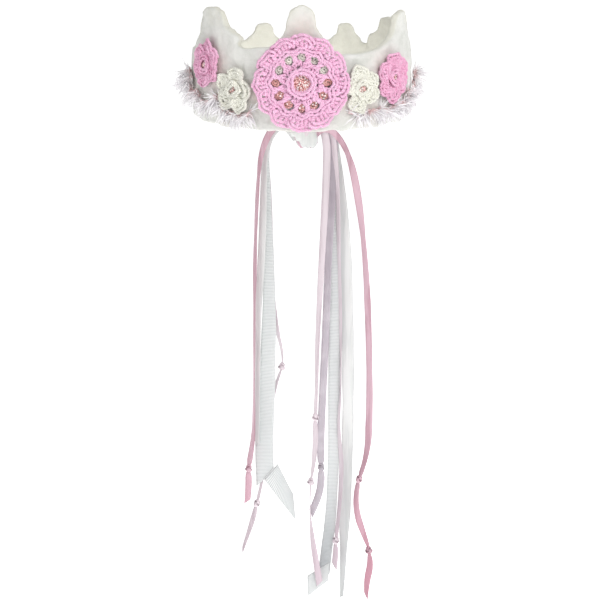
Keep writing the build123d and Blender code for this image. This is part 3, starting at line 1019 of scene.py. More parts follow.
@dataclass
class Rosette:
    """The big rosette: spokes round openings, a puffed centre ring, arches and overlapping scallops."""

    height: float = 36.0
    spokes: int = 12
    opening: float = 3.5
    opening_circle: float = 18.4
    centre: float = 8.8
    arches: float = 23.2
    rim: float = 30.2
    rim_depth: float = 2.3
    yarn: Yarn = Yarn(1.18)

    def __post_init__(self) -> None:
        """Set the rosette on the front of the band."""
        self.patch = Patch(0.0, self.height)

    def hook(self, seed: int, yarn: Optional[Yarn] = None) -> Hook:
        """Start a piece of crochet on this rosette's patch."""
        return Hook(self.patch, yarn or self.yarn, seed)

    @staticmethod
    def polar(radius: Union[float, Array], turn: Union[float, Array], proud: Union[float, Array]) -> Array:
        """Flat place at a radius and an angle from the top, proud of the band."""
        return np.stack(np.broadcast_arrays(radius * np.sin(turn), radius * np.cos(turn), proud),
                        axis=-1).astype(float)

    def finish(self, hook: Hook, name: str, fuzz: int, *nodes: str) -> None:
        """Add stray fibres, build the piece and let it stand for its nodes."""
        hook.fuzz(fuzz, 1.5)
        settle(hook.fabric.build(name, Stuff.PINK_YARN), "crown", "pink_crochet_yarn", *nodes)

    def build(self) -> None:
        """Build every round of the rosette and its beads."""
        step = TAU / self.spokes
        around = np.linspace(0, TAU, 361)
        # Spokes stand between the openings, four strands wide.
        hook = self.hook(1, Yarn(0.98))
        rho = np.linspace(11.2, 24.0, 24)
        for k in range(self.spokes):
            middle = (k + 0.5) * step
            free = rho * math.sin(step / 2) - np.sqrt(np.maximum(self.opening**2
                                                                 - (rho - self.opening_circle) ** 2, 0))
            for lane in (-0.80, -0.30, 0.30, 0.80):
                wave = 0.35 * np.sin(TAU * rho / 3.4 + 9 * lane + k)
                proud = 4.0 + 0.7 * (1 - abs(lane)) + 0.45 * np.cos(TAU * rho / 3.4 + 9 * lane + k)
                proud = proud - 1.3 * np.clip((rho - 20.5) / 3.5, 0, 1) - 0.8 * np.clip((12.5 - rho) / 1.3,
                                                                                        0, 1)
                hook.strand(self.polar(rho, middle + (lane * free * 0.86 + wave) / rho, proud))
        for radius, proud in ((12.3, 2.6), (13.8, 2.2), (22.6, 2.2), (24.6, 2.2), (26.6, 2.4)):
            hook.strand(self.polar(radius, around, proud + 0.3 * np.sin(around * 18)))
        self.finish(hook, "rosette_spokes", 900, "rosette_spoke_round")
        # Puffed ring at the centre: posts wrapped over it, and a braid on top.
        hook = self.hook(2)
        for k in range(22):
            turn = (k + 0.5) * TAU / 22
            arc = np.linspace(-0.1, 1.05, 12)
            radius = 8.9 + 2.7 * np.cos(math.pi * arc)
            hook.strand(self.polar(radius[::-1], turn + 0.05 * np.sin(math.pi * arc),
                                   2.6 + 2.6 * np.sin(math.pi * np.clip(arc, 0, 1))))
        hook.braid(self.polar(self.centre, around, 6.2), 3.1, 1.35, 1.3)
        self.finish(hook, "rosette_centre_ring_braid", 500, "rosette_centre_ring")
        # Arches over the openings.
        hook = self.hook(3)
        lobes = np.cos(around * self.spokes)
        hook.braid(self.polar(self.arches + 0.8 * lobes, around, 5.3 + 0.6 * lobes), 3.6, 1.35, 1.3)
        self.finish(hook, "rosette_arch_braid", 700, "rosette_arch_round")
        # Scallops: fans of posts, each lapping over the next, with a braided rim.
        hook = self.hook(4)
        rng = np.random.default_rng(5)
        for k in range(self.spokes):
            middle = k * step
            puff = rng.uniform(-0.8, 0.9)
            for lane in np.linspace(-1, 1, 5):
                tilt = 0.75 * lane
                foot = self.polar(24.9, middle + lane * 0.36 * step, 4.3)
                head = self.polar(self.rim - 0.9 + self.rim_depth * (1 - 1.6 * lane**2),
                                  middle + lane * 0.44 * step, 5.9 + tilt + puff)
                hook.post(foot, head, 0.62, 1.5)
            lane = np.linspace(-1.12, 1.12, 40)
            bulge = np.sqrt(np.clip(1 - (np.abs(lane) / 1.16) ** 2.4, 0, 1))
            radius = self.rim - 2.9 + (self.rim_depth + 3.1 + 0.5 * puff) * bulge + 0.35 * np.sin(5 * lane
                                                                                                  + k)
            proud = 5.3 + 1.25 * lane + puff + 1.2 * bulge + 0.4 * np.sin(4 * lane + 2 * k)
            hook.braid(self.polar(radius, middle + lane * step * 0.5, proud), 3.9, 1.45, 1.5, round_=False)
        self.finish(hook, "rosette_scallops", 1600, "rosette_scallop_edge")
        # Coral yarn and beads behind the centre and the lower openings, ivory behind the upper ones.
        hook, cream = Hook(self.patch, Yarn(0.9), 6), Hook(self.patch, Yarn(0.9), 7)
        hook.disc((0.0, 0.0), 7.4, 2.6)
        ring = [(self.opening_circle * math.sin(k * step),
                 self.opening_circle * math.cos(k * step)) for k in range(12)]
        for k, spot in enumerate(ring):
            backing = hook if 3 <= k <= 9 else cream
            backing.disc(spot, 3.6, 2.4)
        settle(hook.fabric.build("rosette_coral_backing", Stuff.CORAL_YARN), "crown", "rose_crochet_yarn")
        settle(cream.fabric.build("rosette_cream_backing", Stuff.IVORY_YARN), "crown", "ivory_crochet_yarn")
        spots = ((0.0, 0.0, 6.4, 58),) + tuple((u, v, 2.4, 4) for u, v in ring[4:9])
        cluster = BeadCluster(self.patch, spots, 4.2, 21)
        settle(cluster.build("rosette_bead_cluster"), "crown", "pink_bead", "rosette_bead")


@dataclass(frozen=True)
class BeadCluster:
    """Small faceted beads heaped in the middle of a flower."""

    patch: Patch
    spots: tuple[tuple[float, float, float, int], ...]
    proud: float
    seed: int
    size: float = 0.8

    def build(self, name: str) -> bpy.types.Object:
        """Build the beads as one mesh.

        Args:
            name: the object's name.

        Returns:
            The beads, not yet riding on a body.
        """
        rng = np.random.default_rng(self.seed)
        beads = Fabric()
        rings, sides = 5, 8
        polar = np.linspace(0.12, math.pi - 0.12, rings)
        turn = np.arange(sides) * TAU / sides
        ball = np.stack([np.outer(np.sin(polar), np.cos(turn)), np.outer(np.sin(polar), np.sin(turn)),
                         np.outer(np.cos(polar), np.ones(sides))], axis=-1)
        for u, v, spread, count in self.spots:
            for k in range(count):
                reach = spread * math.sqrt((k + 0.5) / count)
                around = GOLDEN_TURN * k + rng.uniform(-0.2, 0.2)
                lift = self.proud * (1.0 - 0.25 * (reach / spread) ** 2) + rng.uniform(-0.5, 0.4)
                spot = self.patch.place(np.array([u + reach * math.cos(around),
                                                  v + reach * math.sin(around), lift]))
                basis = np.linalg.qr(rng.normal(size=(3, 3)))[0]
                size = self.size * rng.uniform(0.75, 1.25) * np.array([1.0, 1.0, rng.uniform(0.6, 1.0)])
                beads.tube(spot + (ball * size) @ basis.T, strand=np.array(rng.uniform()))
        return beads.build(name, Stuff.BEAD)


@dataclass
class SmallFlower:
    """A small crocheted flower: cupped petals of posts with a braided rim, a ring and beads."""

    name: str
    angle: float
    height: float
    half_width: float
    half_height: float
    petals: int
    stuff: Stuff
    slot: str
    seed: int
    yarn: Yarn = Yarn(0.95)
    turn: float = 0.0
    wobble: float = 0.9
    cup: float = 1.5

    def build(self) -> None:
        """Build the petals, the ring and the beads."""
        patch = Patch(self.angle, self.height)
        hook = Hook(patch, self.yarn, self.seed, self.wobble)
        rng = np.random.default_rng(self.seed + 50)
        step = TAU / self.petals
        for k in range(self.petals):
            middle = self.turn + k * step + rng.uniform(-0.08, 0.08)
            reach = self.reach(middle) - 1.6
            puff = rng.uniform(-0.5, 0.7)
            wide = min(0.47 * reach * step, 0.43 * reach)
            t = np.linspace(-1, 1, 36)
            swing = t * 2.55
            out = 0.62 * reach + 0.38 * reach * np.cos(swing)
            side = wide * np.sin(swing) * (0.75 + 0.25 * np.cos(swing * 0.5))
            proud = 2.3 + puff + self.cup * (out / reach) ** 2 + 0.55 * t + 0.35 * np.sin(5 * t + k)
            rim = self.local(middle, out, side, proud)
            hook.braid(rim, 3.3, 1.3, 1.3, round_=False)
            for lane in np.linspace(-0.62, 0.62, 4):
                foot = self.local(middle, np.array(3.9), np.array(lane * 2.6), np.array(1.9))
                head = self.local(middle, np.array(0.90 * reach * (1 - 0.16 * lane**2)),
                                  np.array(lane * wide * 1.15),
                                  np.array(2.0 + puff + self.cup * 0.75))
                hook.post(foot, head, 0.8, 1.7)
        hook.disc((0.0, 0.0), 6.4, 1.9)
        around = np.linspace(0, TAU, 121)
        for radius, proud in ((5.4, 1.2), (7.2, 1.2)):
            hook.strand(Rosette.polar(radius, around, proud))
        hook.fuzz(700, 1.4)
        settle(hook.fabric.build(f"{self.name}_crochet", self.stuff), "crown", self.slot,
               f"{self.name}_petals")
        ring = Hook(patch, self.yarn, self.seed + 7, self.wobble)
        ring.braid(Rosette.polar(4.9, around, 4.4), 3.0, 1.25, 1.1)
        ring.fuzz(200, 1.2)
        settle(ring.fabric.build(f"{self.name}_ring_braid", self.stuff), "crown", self.slot,
               f"{self.name}_ring")
        core = Hook(patch, Yarn(0.8), self.seed + 8)
        core.disc((0.0, 0.0), 2.9, 3.1)
        settle(core.fabric.build(f"{self.name}_core", Stuff.CORAL_YARN), "crown", "rose_crochet_yarn")
        cluster = BeadCluster(patch, ((0.0, 0.0, 2.6, 9),), 4.3, self.seed + 9, 0.75)
        settle(cluster.build(f"{self.name}_beads"), "crown", "pink_bead", f"{self.name}_bead")

    def reach(self, turn: float) -> float:
        """Distance from the middle to the flower's outline at an angle from the top."""
        return 1.0 / math.hypot(math.sin(turn) / self.half_width, math.cos(turn) / self.half_height)

    @staticmethod
    def local(turn: float, out: Array, side: Array, proud: Array) -> Array:
        """Place in a petal that points at an angle from the top.

        Args:
            turn: angle of the petal from the top.
            out: distance along the petal.
            side: distance across it.
            proud: height off the band.

        Returns:
            Places across, up and proud of the band.
        """
        u = out * math.sin(turn) + side * math.cos(turn)
        v = out * math.cos(turn) - side * math.sin(turn)
        return np.stack(np.broadcast_arrays(u, v, proud), axis=-1).astype(float)


@dataclass
class Stitches:
    """Tacks of cotton that hold the flowers and the rosette down."""

    spots: tuple[tuple[float, float, float, int], ...] = (
        (0.0, 36.0, 14.5, 6), (-34.8, 28.5, 8.6, 2), (30.4, 30.0, 8.6, 2), (-55.0, 44.5, 8.6, 2),
        (51.4, 35.5, 8.6, 2),
    )

    def build(self) -> None:
        """Build every tack as a short loop through the felt."""
        cotton = Fabric()
        yarn = Yarn(0.32, 2, 1.2, 8, 0.3)
        for angle, height, circle, count in self.spots:
            patch = Patch(angle, height)
            for k in range(count):
                turn = TAU * k / count
                t = np.linspace(0, math.pi, 14)
                flat = np.stack([circle * math.cos(turn) + 1.1 * np.cos(t),
                                 circle * math.sin(turn) + 0.5 * np.cos(t),
                                 -1.8 + 5.6 * np.sin(t) ** 0.6], axis=1)
                yarn.spin(cotton, patch.place(flat), patch.outward(flat), k / max(1, count))
        settle(cotton.build("cotton_tacks", Stuff.COTTON), "crown", "sewing_thread", "sewing_stitches")


# Eyelash yarn


@dataclass
class EyelashYarn:
    """A length of eyelash yarn laid along the band: a thin core and tufts of long flat filaments."""

    name: str
    route: tuple[Point, ...]
    count: int
    reach: float
    seed: int
    lean: Point = (0.0, 0.0, -0.5)

    def core(self) -> Array:
        """Line of the core in the model's frame: angle, height and distance off the band, smoothed.

        Returns:
            Points in millimetres.
        """
        route = np.array(self.route)
        t = np.linspace(0, len(route) - 1, 40 * len(route))
        smooth = np.stack([np.interp(t, np.arange(len(route)), route[:, k]) for k in range(3)], axis=1)
        kernel = np.hanning(45) / np.hanning(45).sum()
        padded = np.concatenate([np.repeat(smooth[:1], 22, axis=0), smooth,
                                 np.repeat(smooth[-1:], 22, axis=0)])
        smooth = np.stack([np.convolve(padded[:, k], kernel, "valid") for k in range(3)], axis=1)
        turn, radius = np.radians(smooth[:, 0]), BAND_RADIUS + smooth[:, 2]
        return np.stack([radius * np.sin(turn), -radius * np.cos(turn), smooth[:, 1]], axis=1)

    def build(self) -> None:
        """Build the core and its lashes."""
        rng = np.random.default_rng(self.seed)
        core = self.core()
        outward = unit(core * FLAT)
        yarn = Fabric()
        Yarn(0.42, 3, 2.2, 8, 0.5).spin(yarn, core, outward, 0.4)
        settle(yarn.build(f"{self.name}_core", Stuff.COTTON), "crown", "eyelash_yarn")
        # Lashes stand in tufts: each tuft has its own direction and its lashes fan out from it.
        tuft = np.repeat(np.arange(self.count // 13), 13)
        count = len(tuft)
        spot = np.sort(rng.integers(0, len(core), count // 13))[tuft]
        aim = unit(rng.normal(size=(count // 13, 3)) + np.array([0.0, 0.0, -0.5]))[tuft]
        way = unit(1.1 * aim + 0.24 * rng.normal(size=(count,
                                                       3)) + 0.35 * outward[spot] + np.array(self.lean))
        inward = np.minimum((way * outward[spot]).sum(axis=1, keepdims=True), 0.12)
        way = unit(way - (inward - 0.12) * outward[spot])
        bend = unit(rng.normal(size=(count, 3)) + np.array([0.0, 0.0, -0.9]))
        t = np.linspace(0, 1, 8)[None, :, None]
        size = (self.reach * rng.uniform(0.45, 1.0, count))[:, None, None]
        root = core[spot] + rng.normal(size=(count, 3)) * 0.6
        centres = root[:, None] + size * (way[:, None] * t + 0.16 * bend[:, None] * t**2)
        away = np.linalg.norm(centres[..., :2], axis=-1, keepdims=True)
        push = np.maximum(BAND_RADIUS + 0.8 - away, 0) / np.maximum(away, 1)
        centres = centres + centres * push * FLAT
        turn = unit(np.cross(way, rng.normal(size=(count, 3))))[:, None]
        halves = turn * (0.30 * np.sqrt(1.02 - t**3))
        lashes = Fabric()
        fade = np.repeat(np.broadcast_to(t[..., 0], (count, 8)).ravel(), 2)
        lashes.strips(centres, halves, strand=rng.uniform(0, 1, count), ply=fade)
        settle(lashes.build(f"{self.name}_lashes", Stuff.LASH), "crown", "eyelash_yarn", self.name)


# Ribbons


class Hold(Enum):
    """Kind of ribbon: a narrow one is a cord, a wide one a sheet."""

    CORD = "cord"
    SHEET = "sheet"


def between(stops: Sequence[tuple[float, float]], share: Array) -> Array:
    """Values at shares of a length, between stated stops."""
    return np.interp(share, [stop[0] for stop in stops], [stop[1] for stop in stops])


def knotted(fabric: Fabric, spot: Array, ahead: Array, size: float, seed: int) -> None:
    """Add a small overhand knot: a flat band pulled tight on itself.

    Args:
        fabric: the mesh to add to.
        spot: middle of the knot, in millimetres.
        ahead: direction of the ribbon there.
        size: rough radius.
        seed: which way it lies.
    """
    t = np.linspace(0, TAU, 64)
    loop = np.stack([np.sin(t) + 2 * np.sin(2 * t), 1.15 * (np.cos(t) - 2 * np.cos(2 * t)),
                     -1.5 * np.sin(3 * t)], axis=1)
    rng = np.random.default_rng(seed)
    across = unit(np.cross(ahead, rng.normal(size=3)))
    basis = np.stack([across, ahead, np.cross(across, ahead)])
    line = spot + (loop * size / 3.2) @ basis
    Strip(0.6, 0.5, 7).lay(fabric, line, unit(line - spot), np.full(64, size * 1.35), cap=True)


@dataclass(frozen=True)
class Tail:
    """One ribbon: how it leaves the main knot and how it hangs.

    Routes and depths are metres. Widths (millimetres) and turns (degrees) are stops by share of the
    length, and knots are places on the route.
    """

    name: str
    body: str
    stuff: Stuff
    slot: str
    depth: float
    shoulder: tuple[tuple[float, float], ...]
    route: tuple[tuple[float, float], ...]
    widths: tuple[tuple[float, float], ...] = ((0.0, 6.35), (1.0, 6.35))
    turns: tuple[tuple[float, float], ...] = ((0.0, 0.0), (1.0, 0.0))
    knots: tuple[tuple[float, float], ...] = ()
    stands_for: tuple[str, ...] = ()
    hold: Hold = Hold.CORD
    far_end: str = "bare"
    seed: int = 0

    def line(self) -> Array:
        """Read the ribbon's line, in metres, from one smooth curve through the whole route.

        Returns:
            Points from the knot to the cut end.
        """
        start = self.shoulder[0]
        places = [(start[0], 0.088, start[1])] + [(x, self.depth, z) for x,
                                                  z in self.shoulder[1:] + self.route]
        curve = bpy.data.curves.new(f"{self.name}_route", "CURVE")
        curve.dimensions, curve.resolution_u = "3D", 24
        spline = curve.splines.new("NURBS")
        spline.points.add(len(places) - 1)
        for point, place in zip(spline.points, places):
            point.co = (*place, 1.0)
        spline.order_u = 3
        spline.use_endpoint_u = True
        holder = bpy.data.objects.new(curve.name, curve)
        bpy.context.scene.collection.objects.link(holder)
        mesh = bpy.data.meshes.new_from_object(holder.evaluated_get(bpy.context.evaluated_depsgraph_get()))
        points = np.empty(len(mesh.vertices) * 3, np.float32)
        mesh.vertices.foreach_get("co", points)
        bpy.data.objects.remove(holder)
        return points.reshape(-1, 3).astype(float)

    def build(self, ends: Sequence[bpy.types.Object] = ()) -> None:
        """Args:
            ends: separate pieces on this ribbon; not used.
        """
        line = evenly(self.line() / MM, 1.0)
        run = lengths(line)
        share = run / run[-1]
        ahead = unit(np.gradient(line, axis=0))
        front = unit(FRONT - (ahead @ FRONT)[:, None] * ahead)
        turn = np.radians(between(self.turns, share) + 7 * swell(line, 70.0, self.seed + 30))[:, None]
        facing = np.cos(turn) * front + np.sin(turn) * np.cross(ahead, front)
        width = between(self.widths, share) * (1 + 0.03 * swell(line, 40.0, self.seed))
        ribbon = Fabric()
        for number, (x, z) in enumerate(self.knots):
            near = np.argmin(np.hypot(line[:, 0] - x / MM, line[:, 2] - z / MM))
            gap = np.abs(run - run[near])
            width = width * (1 - 0.62 * np.exp(-((gap / 4.5) ** 2)))
            knotted(ribbon, line[near], ahead[near], 2.7, self.seed * 10 + number)
        Strip().lay(ribbon, line, facing, width, slant=0.9 if self.seed % 2 else -0.8)
        piece = ribbon.build(self.name, self.stuff)
        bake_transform(piece)
        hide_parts(*self.stands_for)
        if self.hold is Hold.CORD:
            max(w for _, w in self.widths) * MM
            list(ends)
        else:
            wide = max(w for _, w in self.widths) * MM
            list(ends)
        log.info("%s: %.0f mm long", self.name, run[-1])


@dataclass(frozen=True)
class Scrap:
    """A short piece of ribbon between two edges, such as a folded end."""

    name: str
    stuff: Stuff
    slot: str
    body: str
    upper: tuple[Point, ...]
    lower: tuple[Point, ...]
    bow: float = 0.8
    thick: float = 0.4

    def build(self, *nodes: str) -> bpy.types.Object:
        """Build the scrap as a thin sheet, bowed between its edges.

        Args:
            nodes: the model's nodes that it stands for.

        Returns:
            The scrap, riding on its body.
        """
        rows = max(len(self.upper), len(self.lower), 2)
        count = 12 * (rows - 1) + 1
        edges = []
        for edge in (self.upper, self.lower):
            given = np.array(edge, float)
            stations = np.linspace(0, len(given) - 1, count)
            edges.append(np.stack([np.interp(stations, np.arange(len(given)),
                                             given[:, k]) for k in range(3)], axis=1))
        t = np.linspace(0, 1, 10)
        sheet = edges[0][:, None] * (1 - t)[None, :, None] + edges[1][:, None] * t[None, :, None]
        flat = sheet.reshape(-1, 3)
        bow = self.bow * np.sin(math.pi * t)[None, :] + 0.35 * swell(flat, 14.0,
                                                                     len(self.name)).reshape(count, 10)
        face = sheet + bow[..., None] * FRONT
        rings = np.concatenate([face + FRONT * self.thick / 2, (face - FRONT * self.thick / 2)[:, ::-1]],
                               axis=1)
        scrap = Fabric()
        along = lengths(edges[0]) * MM
        scrap.tube(rings, True, run=along[:, None], side=np.concatenate([2 * t - 1, 1 - 2 * t])[None, :])
        piece = scrap.build(self.name, self.stuff)
        return settle(piece, self.body, self.slot, *nodes)


LEFT_ARCH = ((-0.0040, -0.0380), (-0.0095, -0.0290), (-0.0175, -0.0260), (-0.0255, -0.0340))
RIGHT_ARCH = ((0.0020, -0.0350), (0.0060, -0.0265), (0.0140, -0.0215), (0.0220, -0.0260), (0.0264, -0.0370))


@dataclass
class RibbonBunch:
    """Everything that hangs at the back: bridge, strands, main knot and tails."""

    tails: tuple[Tail, ...] = (
        Tail("left_pink_satin", "left_pink_tail", Stuff.PINK_SATIN, "pink_satin", 0.0830,
             ((-0.0020, -0.0360), (-0.0070, -0.0250), (-0.0180, -0.0220), (-0.0275, -0.0330)),
             ((-0.0335, -0.0500), (-0.0355, -0.0680), (-0.0370, -0.0920), (-0.0385, -0.1260),
              (-0.0395, -0.1680),
              (-0.0400, -0.2160), (-0.0406, -0.2620), (-0.0410, -0.2930), (-0.0434, -0.3110),
              (-0.0460, -0.3260),
              (-0.0456, -0.3410), (-0.0470, -0.3570)),
             widths=((0.0, 6.35), (0.45, 6.35), (0.5, 5.2), (0.9, 6.35), (1.0, 5.0)),
             turns=((0.0, 10.0), (0.12, 35.0), (0.20, 72.0), (0.30, 52.0), (0.45, 62.0), (0.60, 70.0),
                    (0.80, 66.0),
                    (0.90, 40.0), (0.95, 10.0), (1.0, 5.0)),
             knots=((-0.0460, -0.3260),), stands_for=("left_pink_satin_tail", "left_pink_shoulder"),
             seed=1),
        Tail("left_narrow_white", "left_tails", Stuff.MILK_SATIN, "pale_satin", 0.0870, LEFT_ARCH,
             ((-0.0302, -0.0500), (-0.0310, -0.0720), (-0.0320, -0.1080), (-0.0340, -0.1500),
              (-0.0370, -0.1880),
              (-0.0374, -0.2280), (-0.0384, -0.2680), (-0.0394, -0.3030)),
             turns=((0.0, 0.0), (0.2, 40.0), (0.35, 10.0), (0.7, 30.0), (1.0, 15.0)),
             stands_for=("left_narrow_white_tail", "left_ribbon_shoulder"), seed=2),
        Tail("left_inner_pink", "left_tails", Stuff.PALE_SATIN, "pale_satin", 0.0926, LEFT_ARCH,
             ((-0.0302, -0.0500), (-0.0274, -0.0840), (-0.0266, -0.1260), (-0.0250, -0.1680),
              (-0.0210, -0.2030),
              (-0.0164, -0.2220), (-0.0160, -0.2360), (-0.0206, -0.2480), (-0.0266, -0.2700),
              (-0.0310, -0.3040),
              (-0.0336, -0.3380), (-0.0390, -0.3630), (-0.0440, -0.3830), (-0.0520, -0.4070)),
             widths=((0.0, 6.35), (0.9, 6.35), (1.0, 5.4)),
             turns=((0.0, 0.0), (0.3, 30.0), (0.5, 60.0), (0.57, 72.0), (0.7, 40.0), (0.86, 72.0),
                    (0.93, 45.0),
                    (1.0, 60.0)),
             knots=((-0.0160, -0.2360), (-0.0390, -0.3630)), stands_for=("left_inner_pink_tail",), seed=4),
        Tail("right_pale_satin", "right_tails", Stuff.PALE_SATIN, "pale_satin", 0.0862,
             ((-0.0020, -0.0350), (0.0020, -0.0265), (0.0100, -0.0220), (0.0174, -0.0270),
              (0.0206, -0.0390)),
             ((0.0210, -0.0530), (0.0202, -0.0800), (0.0180, -0.1220), (0.0154, -0.1720), (0.0132, -0.2210),
              (0.0130, -0.2560), (0.0118, -0.2800), (0.0124, -0.3000), (0.0108, -0.3220), (0.0080, -0.3400),
              (0.0074, -0.3600), (0.0084, -0.3800), (0.0104, -0.3990), (0.0134, -0.4180),
              (0.0162, -0.4370)),
             turns=((0.0, 0.0), (0.25, 25.0), (0.45, 50.0), (0.6, 62.0), (0.68, 50.0), (0.76, 66.0),
                    (0.84, 78.0),
                    (0.93, 40.0), (1.0, 20.0)),
             knots=((0.0118, -0.2800), (0.0080, -0.3400)), stands_for=("right_pale_satin_tail",), seed=5),
        Tail("right_sheer", "right_tails", Stuff.SHEER, "lilac_sheer", 0.0892, RIGHT_ARCH,
             ((0.0274, -0.0500), (0.0256, -0.0840), (0.0230, -0.1260), (0.0216, -0.1720), (0.0200, -0.2210),
              (0.0180, -0.2670), (0.0166, -0.3040), (0.0172, -0.3270), (0.0174, -0.3430), (0.0142, -0.3580),
              (0.0084, -0.3710)),
             turns=((0.0, 0.0), (0.4, 20.0), (0.8, -10.0), (1.0, 30.0)),
             knots=((0.0172, -0.3270),), stands_for=("right_sheer_tail", "right_ribbon_shoulder"), seed=6),
        Tail("right_wide_grosgrain", "right_tails", Stuff.GROSGRAIN, "white_grosgrain", 0.0910, RIGHT_ARCH,
             ((0.0274, -0.0500), (0.0280, -0.0900), (0.0274, -0.1500), (0.0282, -0.2100), (0.0280, -0.2640),
              (0.0282, -0.3210), (0.0260, -0.3760), (0.0220, -0.4080), (0.0198, -0.4340)),
             widths=((0.0, 6.4), (0.2, 8.0), (0.4, 10.0), (1.0, 10.0)),
             turns=((0.0, 0.0), (0.5, 10.0), (0.8, -8.0), (1.0, 0.0)),
             stands_for=("right_wide_grosgrain_tail",), seed=7),
        Tail("right_inner_pink", "right_tails", Stuff.PALE_SATIN, "pale_satin", 0.0876, RIGHT_ARCH,
             ((0.0274, -0.0500), (0.0304, -0.0800), (0.0310, -0.1220), (0.0326, -0.1680), (0.0336, -0.2150),
              (0.0340, -0.2580), (0.0320, -0.2820), (0.0330, -0.3030), (0.0350, -0.3230), (0.0344, -0.3470),
              (0.0328, -0.3710), (0.0302, -0.3960), (0.0304, -0.4090), (0.0292, -0.4210)),
             turns=((0.0, 20.0), (0.2, 60.0), (0.45, 68.0), (0.62, 74.0), (0.75, 50.0), (0.9, 66.0),
                    (1.0, 40.0)),
             knots=((0.0302, -0.3960),), stands_for=("right_inner_pink_tail",), seed=8),
        Tail("right_wide_white", "right_tails", Stuff.MILK_SATIN, "white_grosgrain", 0.0925, RIGHT_ARCH,
             ((0.0274, -0.0500), (0.0330, -0.0840), (0.0370, -0.1260), (0.0392, -0.1800), (0.0402, -0.2400),
              (0.0404, -0.2980), (0.0394, -0.3400), (0.0380, -0.3760), (0.0372, -0.4140),
              (0.0360, -0.4530)),
             widths=((0.0, 6.4), (0.15, 9.0), (0.3, 10.0), (0.82, 10.0), (0.9, 6.5), (1.0, 4.0)),
             turns=((0.0, 0.0), (0.3, 20.0), (0.6, -10.0), (0.85, 15.0), (1.0, 40.0)),
             stands_for=("right_wide_white_tail",), seed=9),
        Tail("right_pink_satin", "right_pink_tail", Stuff.PINK_SATIN, "pink_satin", 0.0830,
             ((0.0090, -0.0370), (0.0140, -0.0285), (0.0240, -0.0280), (0.0350, -0.0410)),
             ((0.0420, -0.0600), (0.0466, -0.0840), (0.0500, -0.1080), (0.0530, -0.1360), (0.0556, -0.1720),
              (0.0574, -0.2160), (0.0584, -0.2560), (0.0582, -0.2840), (0.0576, -0.3040), (0.0544, -0.3220),
              (0.0498, -0.3360), (0.0472, -0.3540), (0.0490, -0.3710), (0.0546, -0.3880), (0.0598, -0.4030),
              (0.0610, -0.4180), (0.0578, -0.4330), (0.0572, -0.4470)),
             turns=((0.0, 0.0), (0.1, 50.0), (0.16, 5.0), (0.26, 52.0), (0.38, 30.0), (0.52, 48.0),
                    (0.64, 25.0),
                    (0.72, 62.0), (0.78, 50.0), (0.84, 20.0), (0.90, 58.0), (0.95, 30.0), (1.0, 60.0)),
             knots=((0.0498, -0.3360), (0.0598, -0.4030)),
             stands_for=("right_pink_satin_tail", "right_pink_shoulder"),
             seed=10),
    )
    wide: Tail = Tail(
        "left_wide_grosgrain", "left_tails", Stuff.GROSGRAIN, "white_grosgrain", 0.0892, LEFT_ARCH,
        ((-0.0302, -0.0500), (-0.0284, -0.0820), (-0.0274, -0.1240), (-0.0270, -0.1700), (-0.0280, -0.2210),
         (-0.0310, -0.2680), (-0.0326, -0.3120), (-0.0316, -0.3380)),
        widths=((0.0, 6.4), (0.14, 6.4), (0.3, 7.2), (0.45, 9.4), (0.62, 12.8), (0.78, 15.8), (1.0, 16.0)),
        turns=((0.0, 0.0), (0.3, -12.0), (0.6, 8.0), (1.0, 0.0)),
        stands_for=("left_wide_grosgrain_tail",), hold=Hold.SHEET, seed=3)
    knot: Point = (4.0, 88.0, -36.0)
    radii: Point = (11.0, 6.4, 8.0)

    def build_tails(self) -> None:
        """Build the folded ends and every tail."""
        left = Scrap("left_folded_end", Stuff.GROSGRAIN, "white_grosgrain", "left_tails",
                     ((-20.6, 88.5, -324.0), (-7.0, 87.8, -352.0)),
                     ((-33.0, 88.6, -338.0), (-5.0, 87.8, -377.0)))
        right = Scrap("right_folded_end", Stuff.GROSGRAIN, "white_grosgrain", "right_tails",
                      ((25.0, 90.2, -419.0), (5.4, 89.6, -431.0)),
                      ((24.0, 90.2, -436.0), (6.0, 89.6, -451.0)))
        self.wide.build([left.build()])
        end = right.build()
        for tail in self.tails:
            tail.build([end] if tail.name == "right_wide_grosgrain" else [])

    def strip(self, fabric: Fabric, points: Sequence[Point], width: float, up: bool,
              shift: float = 0.0) -> None:
        """Lay a short ribbon through points, standing on edge or facing the front.

        Args:
            fabric: the mesh to add to.
            points: corners of its route, in millimetres.
            width: its width.
            up: stand it on edge.
            shift: distance to move it along its face.
        """
        given = np.array(points, float)
        t = np.linspace(0, len(given) - 1, 24 * len(given))
        line = np.stack([np.interp(t, np.arange(len(given)), given[:, k]) for k in range(3)], axis=1)
        kernel = np.hanning(25) / np.hanning(25).sum()
        padded = np.concatenate([np.repeat(line[:1], 12, axis=0), line, np.repeat(line[-1:], 12, axis=0)])
        line = evenly(np.stack([np.convolve(padded[:, k], kernel, "valid") for k in range(3)], axis=1), 0.7)
        ahead = unit(np.gradient(line, axis=0))
        facing = unit(np.cross(ahead, UP)) if up else unit(np.cross(ahead, np.array([1.0, 0.15, 0.0])))
        line = line + facing * shift
        Strip(0.36, 0.3).lay(fabric, line, facing, np.full(len(line), width))

